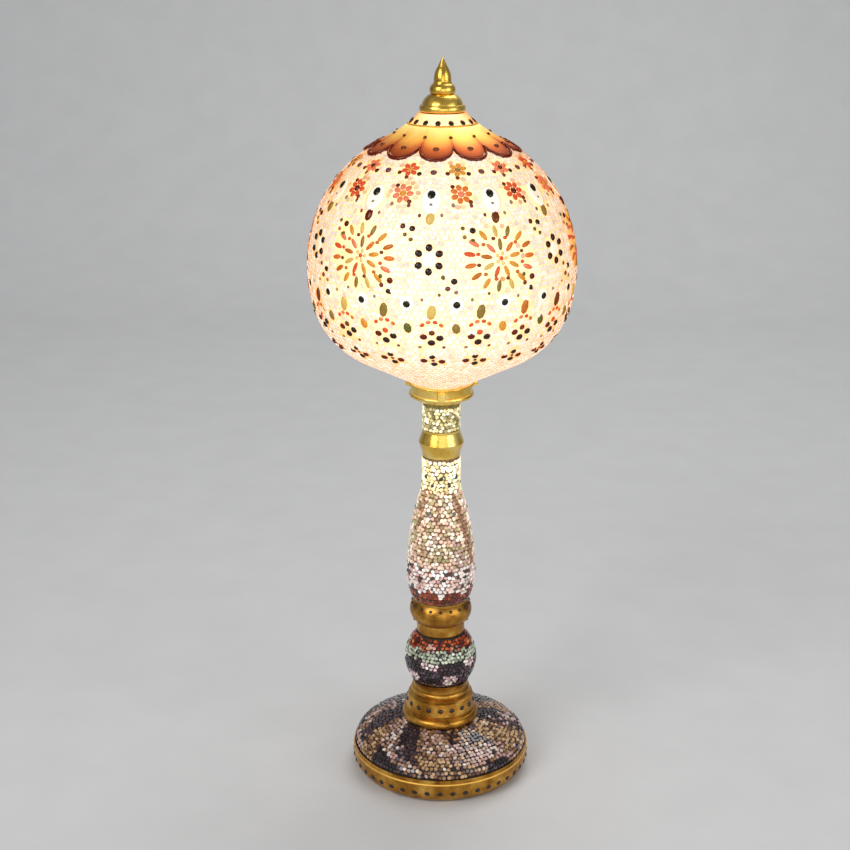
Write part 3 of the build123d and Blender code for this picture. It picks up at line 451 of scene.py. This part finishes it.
motif(BURSTS, BURST, BURST_HEIGHT, *petals(5, 3.4, 1.4, 1.2, "pale", 0), (0, 0, 1.5, 1.5, 0, "coral"))

# %% The lower zone: eighteen repeats
LOWER = 18
DROPS, UNDER = 5.9, -4.1  # degrees to the first round bead and to the first lozenge
motif(LOWER, DROPS, 92.5, (0, 0, 2.8, 2.7, 0, "black"))
motif(LOWER, UNDER, 87.0, (0, 0, 2.9, 5.0, -10, None),
      cycle=["lime", "olive", "amber", "brown"])
motif(LOWER, UNDER, 90.0, (-6.6, 6.0, 1.0, 1.2, 0, "grey"), (5.4, 9.6, 1.0, 1.1, 0, "moss"))
motif(LOWER, DROPS, 75.0, (0, 0, 2.7, 3.6, 12, None), cycle=["olive", "gold", "moss"])
motif(LOWER, UNDER, 78.6, (-6.6, -1.0, 1.7, 1.3, 40, "coral"), (-2.4, 1.2, 1.7, 1.3, 15, "pink"),
      (2.4, 1.2, 1.7, 1.3, -15, "coral"), (6.6, -1.0, 1.7, 1.3, -40, "orange"))
motif(LOWER, UNDER, 68.5, (0, 3.4, 2.1, 1.9, 0, None), (-5.8, 0.2, 2.5, 2.1, 0, "maroon"),
      (5.6, -0.6, 2.5, 2.2, 0, "ink"), (-0.4, -4.6, 2.6, 2.3, 0, "ink"), cycle=["brown", "coral"])
motif(LOWER, UNDER, 61.0, (-8.6, -0.6, 1.3, 1.1, 0, "grey"), (8.2, -0.4, 1.2, 1.1, 0, "mauve"))
motif(LOWER, UNDER, 48.5, (-0.4, 4.6, 2.2, 1.9, 0, "ink"), (-6.4, 0.4, 2.5, 2.0, 0, "maroon"),
      (6.4, -0.4, 2.4, 2.0, 0, "maroon"), (0.8, -3.6, 2.3, 2.0, 0, "ink"),
      (0.2, 0.6, 1.3, 1.1, 0, "mauve"))
motif_beads = np.concatenate(beads)
print(len(motif_beads), "beads in the motifs")

# %% White ovals behind the dark beads and in the rosettes
beads.clear()
motif(SCALLOPS, TIPS, 161.2, (0, 0, 6.4, 9.8, 0, "white"))
motif(BURSTS, ROSETTE, ROSETTE_HEIGHT, (0, 0, 4.8, 4.8, 0, "white"))
motif(LOWER, DROPS, 92.5, (0, 0, 5.0, 5.0, 0, "white"))
ovals = np.concatenate(beads)
ovals[:, 4] = 0.55 * MM
ovals[:, 6:9] /= np.array(AMBER_TINT[:3])

# %% Lay the ground, the ovals and the beads
GROUND_PITCH = 4.1 * MM
crown_edge = globe_foot + 184.0 * MM
ground_low = globe_foot + 9.0 * MM
angle, along = pave(globe, ground_low, crown_edge + 4 * MM, GROUND_PITCH)
spots = place_on(globe, angle, along)[0]
keep = np.ones(len(spots), bool)
for table, room in ((motif_beads, 1.6 * MM), (ovals, 1.2 * MM)):
    centres = place_on(globe, table[:, 0], table[:, 1])[0]
    reach = np.maximum(table[:, 2], table[:, 3]) * 0.8 + room
    gaps = np.linalg.norm(spots[:, None] - centres[None], axis=-1)
    keep &= (gaps > reach[None]).all(1)
angle, along, spots = angle[keep], along[keep], spots[keep]
BULB_TO_WALL = 0.098


def bulb_light(along):
    """Share of the bulb's light at a distance along the glass.

    It is (98 mm / distance from the bulb) ^ 1.1, kept between 0.6 and 1.25.
    """
    height = at(globe, "height", along)
    bulb = (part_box("bulb_glass")[0].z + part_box("bulb_glass")[1].z) / 2
    distance = np.hypot(radius_of(globe, height), height - bulb)
    return np.clip((BULB_TO_WALL / distance) ** 1.1, 0.6, 1.25)


def globe_piece(name, laid, material, smooth=True):
    """A piece on the globe: it rides on the shade and has the globe's slot."""
    make_piece(name, *laid, "shade", "globe_mosaic_glass", material, smooth)


GROUND = ["#FFFEFA", "#FFFBF2", "#FFF6EA", "#FDEFE0", "#F8E8DC", "#F8F2DC"]
PEACH = ["#FFF2D8", "#FBDDB4", "#F4C8A0", "#FFE8B8", "#F0C4AC", "#E8B07C"]
WARM_ZONES = [
    (BURSTS, BURST, BURST_HEIGHT, 25),
    (SCALLOPS, BETWEEN, LOW_BLOSSOM, 11),
    (SCALLOPS, BETWEEN, HIGH_BLOSSOM, 9),
]
warm = np.zeros(len(angle), bool)
for count, phase, height, reach in WARM_ZONES:
    centre = np.radians(phase + np.arange(count) * 360 / count)
    middle = np.full(count, along_of(globe, globe_foot + height * MM))
    gaps = np.linalg.norm(spots[:, None] - place_on(globe, centre, middle)[0][None], axis=-1)
    warm |= (gaps < reach * MM).any(1)
colour = pick(GROUND, [8, 6, 4, 2, 1.2, 1.2], len(angle))
peach = pick(PEACH, [5, 4, 3, 3, 2, 1], len(angle))
colour = np.where(warm[:, None], peach, colour) / np.array(AMBER_TINT[:3])
ground = rows_for(angle, along, 2.15 * MM, 2.0 * MM, 0.75 * MM, colour)
laid = lay(CHIP, globe, ground, 0.86 * bulb_light(along), 0.72, 0.14)
globe_piece("globe_ground_chips", laid, ground_glass, smooth=False)
laid = lay(TABLET, globe, ovals, 0.98 * bulb_light(ovals[:, 1]), 0.7)
globe_piece("globe_white_ovals", laid, ground_glass)
laid = lay(BEAD, globe, motif_beads, 0.6 * bulb_light(motif_beads[:, 1]), 0.5)
globe_piece("globe_motif_beads", laid, lit_glass)

# %% [markdown]
# ## The crown
# Around the neck of the globe lies a gilded collar of twelve scallops. It is one closed sheet:
# a grid whose first parameter goes around the lamp and whose second goes down the outer face
# and back up the inner one. A cord of dark red enamel follows its scalloped edge.
# %% Scalloped crown and its cord
crown_top = along_of(globe, globe_foot + 204.3 * MM)
cusp = along_of(globe, globe_foot + 192.2 * MM)
tip = along_of(globe, globe_foot + 184.6 * MM)


def scallop_edge(angle):
    """Distance along the glass of the crown's edge: from the cusp it drops as a half ellipse."""
    share = ((angle - math.radians(TIPS)) * SCALLOPS / (2 * np.pi) + 0.5) % 1.0 * 2 - 1
    return cusp - (cusp - tip) * np.sqrt(np.clip(1 - share**2, 0, 1))


def ring_grid(rows, columns):
    """Quads of a grid that closes both ways."""
    i, j = np.meshgrid(np.arange(rows), np.arange(columns), indexing="ij")
    here, below, right = i * columns, (i + 1) % rows * columns, (j + 1) % columns
    quad = np.stack([below + j, below + right, here + right, here + j], -1)
    return [quad.reshape(-1, 4)]


FULL_TURN = np.linspace(0, 2 * np.pi, 720, endpoint=False)
CROWN_ROWS = 12
down = np.concatenate([np.linspace(0, 1, CROWN_ROWS), np.linspace(1, 0, CROWN_ROWS)])
outer = np.repeat([True, False], CROWN_ROWS)[:, None]
angle_grid, down_grid = np.meshgrid(FULL_TURN, down)
edge = scallop_edge(angle_grid)
path = crown_top + (edge - crown_top) * down_grid
point, _, _, out = place_on(globe, angle_grid, path)
# The outer face stands 0.5 mm out at its edges and 1.4 mm between them. The inner face lies
# 0.4 mm within the glass.
swell = (0.5 + 0.9 * np.sin(np.pi * np.clip(down_grid, 0, 1)) ** 0.6) * MM
lift = np.where(outer, swell, -0.4 * MM)
crown_points = (point + out * lift[..., None]).reshape(-1, 3)
# The gilt runs from pale yellow at the top of the crown to orange and brown-red at its edge; the pale
# top is in part a painted highlight. The glow falls from 0.62 at the top to 0.22 at the edge, which
# paints the top brighter too.
fade = down_grid.ravel()
stops = np.array([linear(code) for code in ("#FFE68A", "#F4B44A", "#C4601E", "#8A2E10")])
gilt_and_highlight = [np.interp(fade, [0, 0.4, 0.72, 1], channel) for channel in stops.T]
crown_paint = np.column_stack([*gilt_and_highlight, 0.62 - 0.40 * fade])


def gilding():
    """Gold leaf over size: metal, a little uneven, with the lamp's light warm through it."""
    material, tree, shader = new_material("gold_leaf", Metallic=0.75, Emission_Strength=0.8)
    paint = add(tree, "VertexColor", {"layer_name": "glass"})
    where = add(tree, "TexCoord").outputs["Object"]
    creases = {"Scale": 240.0, "Detail": 4.0, "Roughness": 0.6}
    leaf = add(tree, "TexNoise", creases, Vector=where).outputs["Fac"]
    share = add(tree, "MapRange", {"To Min": 0.75, "To Max": 1.15}, Value=leaf)
    times = {"operation": "SCALE"}
    own = add(tree, "VectorMath", times, _0=paint.outputs["Color"], Scale=share)
    light = add(tree, "VectorMath", times, _0=own, Scale=paint.outputs["Alpha"])
    matt = add(tree, "MapRange", {"To Min": 0.42, "To Max": 0.6}, Value=leaf)
    bump = add(tree, "Bump", {"Strength": 0.3, "Distance": 0.3 * MM}, Height=leaf)
    link(tree, shader, Base_Color=own, Emission_Color=light, Roughness=matt, Normal=bump)
    return material


gold_leaf = gilding()
crown_faces = ring_grid(len(down), len(FULL_TURN))
globe_piece("crown_scallops", (crown_points, crown_faces, crown_paint), gold_leaf)


def cord_along(wall, path_of, thick, lift, code, glow):
    """A round cord around the lamp: centre at angle a and distance path(a), section a circle."""
    turn = np.linspace(0, 2 * np.pi, 8, endpoint=False)
    angle, section = np.meshgrid(FULL_TURN, turn)
    point, _, upward, out = place_on(wall, angle, path_of(angle))
    ring = upward * np.cos(section)[..., None] + out * np.sin(section)[..., None]
    points = (point + out * lift * MM + ring * thick * MM).reshape(-1, 3)
    paint = np.tile([*linear(code), glow], (len(points), 1))
    return points, ring_grid(len(turn), len(FULL_TURN)), paint


def level_at(along):
    """The path of a cord that stays at one distance along the wall."""
    return lambda angle: np.full_like(angle, along)


laid = cord_along(globe, scallop_edge, 1.6, 0.7, "#6A1808", 0.32)
globe_piece("crown_red_cord", laid, lit_glass)
laid = cord_along(globe, level_at(crown_top), 0.8, 0.3, "#D89A3A", 0.3)
globe_piece("crown_top_bead", laid, gold_leaf)
beads.clear()
motif(SCALLOPS, TIPS, 190.5, (0, 0, 2.6, 2.2, 0, "brown"))
motif(SCALLOPS, BETWEEN, 197.0, (0, 0, 1.6, 1.6, 0, "maroon"))
crown_dots = np.concatenate(beads)
crown_dots[:, 4] = 2.6 * MM
globe_piece("crown_dots", lay(BEAD, globe, crown_dots, 0.4, 0.6), lit_glass)

# %% [markdown]
# ## Mosaic on the pillar
# The pillar's glass is paved with chips of many colours, pressed into plaster. Which colours
# are used changes with height, and chips of one colour come in patches. The chips of the upper
# vase and of the neck get a painted glow for the light of the shade that falls on them; those
# of the ball and the bowl get a faint one.
# %% Patches of colour
def patches(angle, height, scale, seed):
    """Smooth noise from 0 to 1 on a turned wall: a sum of a few waves that close around it."""
    own = np.random.default_rng(seed)
    waves = 9
    total = np.zeros_like(angle)
    for _ in range(waves):
        turns, shift = own.integers(1, 9), own.uniform(0, 6.3)
        total += np.sin(turns * angle + shift + height / (scale * own.uniform(0.6, 1.8)))
    return np.clip(0.5 + total / waves, 0, 1)


def choose(level, palette):
    """Colours from a palette by a level from 0 to 1, with a little chance between neighbours."""
    table = np.array([linear(code) for code in palette])
    index = level * len(palette) + chance.normal(0, 1.1, len(level))
    picked = table[np.clip(index.astype(int), 0, len(palette) - 1)]
    return picked * chance.uniform(0.8, 1.15, (len(level), 1))


def pave_piece(name, node, slot, pitch, low, high, paint_of, glow_of):
    """Chips on a turned node of the stand, between two heights in mm above its foot."""
    wall = outline(node)
    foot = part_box(node)[0].z
    angle, along = pave(wall, foot + low * MM, foot + high * MM, pitch * MM, 0.2)
    height = (at(wall, "height", along) - foot) / MM
    colour = paint_of(angle, height)
    table = rows_for(angle, along, 0.55 * pitch * MM, 0.5 * pitch * MM, 0.8 * MM, colour)
    laid = lay(CHIP, wall, table, glow_of(height), 0.35, 0.22)
    make_piece(name, *laid, "stand", slot, pillar_glass, smooth=False)


# %% Vase, neck, ball and bowl
VASE_TALL = (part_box("vase")[1].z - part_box("vase")[0].z) / MM


def vase_paint(angle, height):
    """Cream at the neck, cream, pink and olive in the middle, white and pink low, red arches."""
    level = patches(angle, height, 14, 3)
    neck_from, low_to = 92, 34
    middle = choose(
        level, ["#9A7458", "#C8A684", "#FBE6C8", "#F2CAB0", "#B4A678", "#FFF6E4", "#C4A294"]
    )
    top = choose(level, ["#FFF4D0", "#FFF0C0", "#FFE8AC", "#FFF9E4", "#D4C488"])
    low = choose(level, ["#FFF2EA", "#F4CFC4", "#FFFFFF", "#DDB0A8", "#4A3A34", "#F6E6DC"])
    arch = 6.0 + 7.5 * np.abs(np.sin(4 * angle)) ** 0.7
    red = choose(level, ["#5A1A0C", "#8A2E14", "#A84A20", "#3A140C"])
    colour = np.where((height > neck_from)[:, None], top, middle)
    colour = np.where((height < low_to)[:, None], low, colour)
    return np.where((height < arch)[:, None], red, colour)


def vase_glow(height):
    """Painted glow for the light of the shade that falls on the vase: strong at its neck and nearly
    gone at its foot.
    """
    return 0.14 + 0.78 * np.clip(height / VASE_TALL, 0, 1) ** 1.8


pave_piece("vase_chips", "vase", "vase_mosaic_glass", 3.3, 0.6, VASE_TALL - 0.4,
           vase_paint, vase_glow)
vase = outline("vase")
vase_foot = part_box("vase")[0].z


def dots_on(name, wall, foot, slot, material, *rings_of_dots, free_back=0.0):
    """Rings of beads on a turned wall of the stand.

    A ring is count, phase, height above the foot, half sizes, thickness, colour and glow.

    Beads nearer than free_back degrees to the back are left out, to clear the cord's inlet.
    """
    made = []
    for count, phase, height, wide, high, thick, code, glow in rings_of_dots:
        degrees = phase + np.arange(count) * 360 / count
        angle = np.radians(degrees[np.abs(degrees % 360 - 180) >= free_back])
        count = len(angle)
        along = np.full(count, along_of(wall, foot + height * MM))
        sizes = [np.full(count, v * MM) for v in (wide, high, thick)]
        colour = np.tile(linear(code), (count, 1))
        table = np.column_stack([angle, along, *sizes, np.zeros(count), colour])
        made.append(lay(BEAD, wall, table, glow, 0.6))
    make_piece(name, *join(*made), "stand", slot, material)


# The vase's beads carry a painted glow as well: 0.1 on the upper rings, 0.3 on the orange ring, 0.05
# near the foot.
dots_on("vase_dark_beads", vase, vase_foot, "vase_mosaic_glass", pillar_glass,
        (7, 0, 104, 2.2, 2.2, 1.3, "#1E3A28", 0.1), (7, 25, 98, 2.0, 1.9, 1.2, "#3A2A18", 0.1),
        (8, 10, 92, 1.6, 1.6, 1.1, "#B0603A", 0.3), (9, 5, 24, 2.3, 2.1, 1.3, "#2A2420", 0.05),
        (9, 25, 16, 1.9, 1.8, 1.2, "#5A5A4A", 0.05), (6, 30, 76, 2.4, 2.2, 1.2, "#6A6A5A", 0.1))


def neck_paint(angle, height):
    """Olive and cream in patches."""
    level = patches(angle, height, 9, 5)
    return choose(level, ["#86784A", "#D0C488", "#FFF6D0", "#EEDCA0", "#A89A6A", "#FFFCE6"])


# The neck's chips have a painted glow for the shade's light above it: 0.4 at its foot, rising 0.012 a
# millimetre upward.
pave_piece("neck_chips", "neck_tube", "neck_mosaic_glass", 3.0, 0.4, 21.1,
           neck_paint, lambda h: 0.4 + 0.012 * h)


def ball_paint(angle, height):
    """Red scallops hang from the top, a pale green band follows, dark glass with petals below."""
    level = patches(angle, height, 8, 8)
    red = choose(level, ["#6A1E10", "#9A3A18", "#B85A28", "#4A140C"])
    green = choose(level, ["#A8B098", "#C4CCB4", "#8E9A84", "#D6DCC8"])
    dark = choose(level, ["#2A1C24", "#3E2A34", "#1A1618", "#5A4450", "#2E2A30"])
    petal = choose(level, ["#F0D8D4", "#E4BCC0", "#FFF2EC", "#C8A4A8"])
    dark_to = 26.5
    hang = 38.0 - 5.5 * np.abs(np.sin(4 * angle)) ** 0.6
    colour = np.where((height > hang)[:, None], red, green)
    flower = np.sin(5 * angle) * np.sin((height - 4) / 4.2) > 0.38
    below = np.where(flower[:, None], petal, dark)
    return np.where((height < dark_to)[:, None], below, colour)


# The ball's chips glow faintly, 0.05 at its foot and rising toward its top, and its beads glow 0.02
# and 0.1: painted glow for the shade's light.
pave_piece("ball_chips", "ball", "ball_mosaic_glass", 3.0, 2.6, 42.4,
           ball_paint, lambda h: 0.05 + 0.002 * h)
dots_on("ball_dark_beads", outline("ball"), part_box("ball")[0].z, "ball_mosaic_glass", pillar_glass,
        (8, 0, 31.8, 2.1, 2.1, 1.2, "#1A1A16", 0.02), (8, 22.5, 36.5, 1.6, 1.6, 1.1, "#D88A40", 0.1))


def bowl_paint(angle, height):
    """Dark plum and brown with scattered cream and pink, and tan patches."""
    level = patches(angle, height, 10, 12)
    dark = choose(level, ["#20161A", "#32242A", "#462C34", "#282022", "#503430", "#2C1C26"])
    light = choose(level, ["#D8C0B4", "#C8A09C", "#8A6448", "#B08C78", "#E2D2C6", "#6E5A62"])
    picked = (patches(angle, height, 4, 20) + chance.normal(0, 0.17, len(angle))) > 0.66
    tan = choose(level, ["#9A7050", "#B08A60", "#7A5236", "#C8A47A"])
    warm = patches(angle, height, 16, 31) + chance.normal(0, 0.06, len(angle)) > 0.66
    colour = np.where(warm[:, None], tan, dark)
    return np.where(picked[:, None], light, colour)


bowl_high = (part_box("base_collar")[0].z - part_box("base_bowl")[0].z) / MM
# The bowl's chips have a faint painted glow of 0.02 all over.
pave_piece("bowl_chips", "base_bowl", "dark_mosaic_glass", 3.4, 3.0, bowl_high + 0.4,
           bowl_paint, lambda h: 0.02)

# %% [markdown]
# ## Metals
# The bright pieces are turned brass, polished and lacquered. The lower pieces are the same
# brass, aged with a dark wash in patches laid by noise. A turning tool leaves rings about
# 0.4 mm apart; they are drawn three times as coarse so that they show.
# %% Brass
WAVE_BAND = 0.31  # metres between the bands of a wave texture whose scale is 1
TURNED_RINGS = 1.2


def turned_metal(name, stops, shine, wash_scale, wash, rings_mm=TURNED_RINGS, **sockets):
    """Metal with turned rings by height and a stain that follows noise.

    Shine is the roughness where it is clean, and the wash adds to it where it is stained.
    """
    material, tree, shader = new_material(name, **{"Metallic": 1.0, **sockets})
    where = add(tree, "TexCoord").outputs["Object"]
    clouds = {"Scale": wash_scale, "Detail": 6.0, "Roughness": 0.62}
    stain = add(tree, "TexNoise", clouds, Vector=where).outputs["Fac"]
    tone = add(tree, "ValToRGB", {"stops": stops}, _0=stain)
    reach = {"From Min": 0.3, "From Max": 0.7, "To Min": shine, "To Max": shine + wash}
    dull = add(tree, "MapRange", reach, Value=stain)
    bands = {"wave_type": "BANDS", "bands_direction": "Z", "Scale": WAVE_BAND / (rings_mm * MM)}
    wave = add(tree, "TexWave", {**bands, "Distortion": 0.6, "Detail": 1.0}, Vector=where)
    depth = {"Strength": 0.12, "Distance": 0.2 * MM}
    bump = add(tree, "Bump", depth, Height=wave.outputs["Fac"])
    link(tree, shader, Base_Color=tone, Roughness=dull, Normal=bump)
    return material


polished = turned_metal("polished_lacquered_brass",
                        [(0.25, "#C8922C"), (0.5, "#F0C858"), (0.8, "#FFEA9A")],
                        0.2, 60.0, 0.14, Coat_Weight=0.3, Coat_Roughness=0.08)
aged = turned_metal("aged_brass",
                    [(0.3, "#6E4416"), (0.48, "#B07C30"), (0.66, "#DCAC54"), (0.85, "#F6DC90")],
                    0.24, 60.0, 0.22)
steel = turned_metal("zinc_plated_steel", [(0.3, "#8E9094"), (0.7, "#C8CACC")], 0.3, 80.0, 0.2)
tinned = turned_metal("tinned_contact_brass", [(0.3, "#B8AA80"), (0.7, "#E6DCB8")], 0.25, 120.0, 0.2)
nickel = turned_metal("bulb_cap_nickel", [(0.3, "#A8A8A6"), (0.7, "#DCDCD8")], 0.2, 100.0, 0.2, 2.8)
iron = turned_metal("painted_cast_iron", [(0.3, "#16171A"), (0.7, "#2A2B2E")], 0.6, 300.0, 0.2,
                    Metallic=0.1)


# %% [markdown]
# ## Everything else
# Plaster, rubber, felt, moulded plastic and porcelain differ in colour, in how even they are
# and in how they scatter light. One function makes them from two colours, the size of their
# grain in millimetres and their roughness.
# %% Plain materials
def grained(name, dark, light, grain_mm, roughness, depth=0.2, glow=0.0, **sockets):
    """Two colours mixed by noise whose grain has a real size; the same noise gives the bump."""
    material, tree, shader = new_material(name, Roughness=roughness, **sockets)
    where = add(tree, "TexCoord").outputs["Object"]
    lumps = {"Scale": 0.5 / (grain_mm * MM), "Detail": 5.0}
    grain = add(tree, "TexNoise", lumps, Vector=where).outputs["Fac"]
    tone = add(tree, "ValToRGB", {"stops": [(0.3, dark), (0.7, light)]}, _0=grain)
    if glow:
        link(tree, shader, Emission_Color=tone)
        shader.inputs["Emission Strength"].default_value = glow
    bump = add(tree, "Bump", {"Strength": depth, "Distance": 0.3 * MM}, Height=grain)
    link(tree, shader, Base_Color=tone, Normal=bump)
    return material


finishes = {
    "green_felt": grained("wool_felt", "#1A2E20", "#2E4A34", 0.4, 0.95, 0.6),
    "zinc_steel": steel,
    "cast_iron": iron,
    "antique_brass": aged,
    "polished_brass": polished,
    "tinned_brass": tinned,
    "nickel_cap": nickel,
    "black_rubber": grained("black_rubber", "#0E0E0E", "#1C1C1C", 0.6, 0.7),
    "white_nylon": grained("white_nylon", "#DEDBD0", "#F0EEE6", 1.5, 0.4),
    "black_phenolic": grained("black_phenolic", "#0A0A0B", "#18181A", 2.0, 0.25),
    "white_porcelain": grained("white_porcelain", "#DEDACE", "#F2F0E8", 1.0, 0.35),
    "black_vitrite": grained("black_vitrite", "#0A0A10", "#16161E", 2.0, 0.1),
    "yellow_phosphor": grained("yellow_phosphor", "#F0C040", "#FFE08A", 0.4, 0.6, 0.2, 8.0),
    "clear_bulb_glass": grained("clear_bulb_glass", "#F4F8FA", "#FFFFFF", 6.0, 0.02, 0.02,
                                Transmission_Weight=1.0, IOR=1.5),
    "globe_mosaic_glass": grained("opal_globe_glass", "#FFE2C0", "#FFF4E0", 3.0, 0.3, 0.2, 0.95,
                                  IOR=1.5, **tinted),
    # The neck and vase plaster have a painted glow, 0.2 and 0.12, for the shade's light falling on
    # them.
    "neck_mosaic_glass": grained("lit_olive_plaster", "#5A5028", "#8A7E44", 1.0, 0.8, 0.5, 0.2),
    "vase_mosaic_glass": grained("lit_warm_plaster", "#5A4030", "#8A6A50", 1.0, 0.8, 0.5, 0.12),
    "ball_mosaic_glass": grained("dark_plaster", "#1E1612", "#36281E", 1.0, 0.8, 0.5),
    "dark_mosaic_glass": grained("plum_plaster", "#181012", "#2E2022", 1.0, 0.75, 0.5),
}
for entry in frame["record"]["subparts"]:
    node = frame["nodes"][entry["node"]]
    node.data.materials.clear()
    node.data.materials.append(finishes[entry["material_slot"]])
print(len(frame["nodes"]), "CAD nodes dressed")

# %% [markdown]
# ## Dots on the brass
# The foot's rim, the collar and the ring under the vase carry rows of dark enamel dots between
# turned lines. A gilt stripe runs around the rim above its dots; it is in part a painted
# highlight, a bright line where the turned rim catches the light.
# %% Enamel dots on rim, collar and ring
enamel = mosaic_glass("dark_enamel", 0.9)
rim_wall = outline("base_rim_band")
dots_on("rim_dots", rim_wall, 0.0, "antique_brass", enamel,
        (44, 0, 10.0, 2.3, 1.9, 0.7, "#1A0C06", 0.0), free_back=7.0)
# The gilt stripe stands where the rim shows a bright line: in part a painted highlight.
stripe_and_highlight = level_at(along_of(rim_wall, 17.7 * MM))
laid = cord_along(rim_wall, stripe_and_highlight, 0.9, -0.45, "#F4C05A", 0.0)
make_piece("rim_gilt_stripe_and_highlight", *laid, "stand", "antique_brass", gold_leaf)
dots_on("collar_dots", outline("base_collar"), 0.0, "antique_brass", enamel,
        (18, 0, 58.6, 2.3, 1.9, 0.8, "#241008", 0.0))
dots_on("ring_dots", outline("lower_ring"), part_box("lower_ring")[0].z, "antique_brass", enamel,
        (18, 0, 25.5, 1.6, 1.3, 0.7, "#3A1A0A", 0.0), (18, 10, 12.6, 1.3, 1.1, 0.6, "#5A2A0E", 0.0))

# %% [markdown]
# ## Floor, light and camera
# The lamp stands on a pale floor that curves up into a backdrop, so there is no horizon. Light
# comes from large soft lamps. The camera stands a little above the globe and looks down 18
# degrees, as one does at a lamp on a table.
# %% Floor and backdrop
BEND_RADIUS = 0.8
FLOOR_REACH = 12.0
bend = np.linspace(0.1, 1.5, 12)
depth = np.array([-FLOOR_REACH, -1.5, 0.0, 1.0, *(1.4 + BEND_RADIUS * np.sin(bend)), 2.2, 2.2])
rise = np.array([0, 0, 0, 0, *(BEND_RADIUS - BEND_RADIUS * np.cos(bend)), 2.0, 5.0])
across = np.linspace(-FLOOR_REACH, FLOOR_REACH, 3)
grid_x, grid_y = np.meshgrid(across, depth)
floor_points = np.stack([grid_x, grid_y, np.repeat(rise[:, None], 3, 1)], -1).reshape(-1, 3)
i, j = np.meshgrid(np.arange(len(depth) - 1), np.arange(2), indexing="ij")
floor_faces = np.stack([i * 3 + j, i * 3 + j + 1, i * 3 + j + 4, i * 3 + j + 3], -1).reshape(-1, 4)
floor_mesh = bpy.data.meshes.new("studio_floor")
floor_mesh.from_pydata(floor_points.tolist(), [], floor_faces.tolist())
floor_mesh.polygons.foreach_set("use_smooth", np.full(len(floor_faces), True))
floor_mesh.materials.append(grained("floor_paint", "#C4C4C4", "#C8C8C8", 30.0, 0.75, 0.05))
studio_floor = bpy.data.objects.new("studio_floor", floor_mesh)
bpy.context.scene.collection.objects.link(studio_floor)


# %% Lights and world
def soft_lamp(name, place, target, size, power):
    """A square area light that faces a target."""
    light = bpy.data.lights.new(name, "AREA")
    light.size = size
    light.energy = power
    holder = bpy.data.objects.new(name, light)
    holder.location = place
    holder.rotation_euler = (Vector(target) - Vector(place)).to_track_quat("-Z", "Y").to_euler()
    bpy.context.scene.collection.objects.link(holder)


soft_lamp("key_light", (-1.3, -1.5, 1.5), (0, 0, 0.25), 1.2, 26.0)
soft_lamp("front_light", (0.2, -2.2, 0.5), (0, 0, 0.3), 1.6, 12.0)
soft_lamp("fill_light", (1.6, -1.2, 0.9), (0, 0, 0.2), 1.2, 12.0)
soft_lamp("back_light", (0.4, 1.0, 2.2), (0, 0, 0.2), 1.5, 22.0)
world = bpy.data.worlds.new("studio")
world.use_nodes = True
background = world.node_tree.nodes["Background"]
background.inputs["Color"].default_value = (0.95, 0.97, 1.0, 1.0)
background.inputs["Strength"].default_value = 0.35
bpy.context.scene.world = world
bpy.context.scene.view_settings.view_transform = "Standard"

# %% Camera
LOOK_DOWN, TURN_LEFT = 17.97, 0.67  # degrees
AWAY, ABOVE = 1.9, 1.13  # in heights of the lamp
tall = cad_high.z - cad_low.z
camera_data = bpy.data.cameras.new("camera")
camera_data.sensor_width = 36.0
camera_data.lens = 62.23
camera = bpy.data.objects.new("camera", camera_data)
camera.location = (0, -AWAY * tall, ABOVE * tall)
camera.rotation_euler = (math.radians(90 - LOOK_DOWN), 0, math.radians(TURN_LEFT))
bpy.context.scene.collection.objects.link(camera)
bpy.context.scene.camera = camera
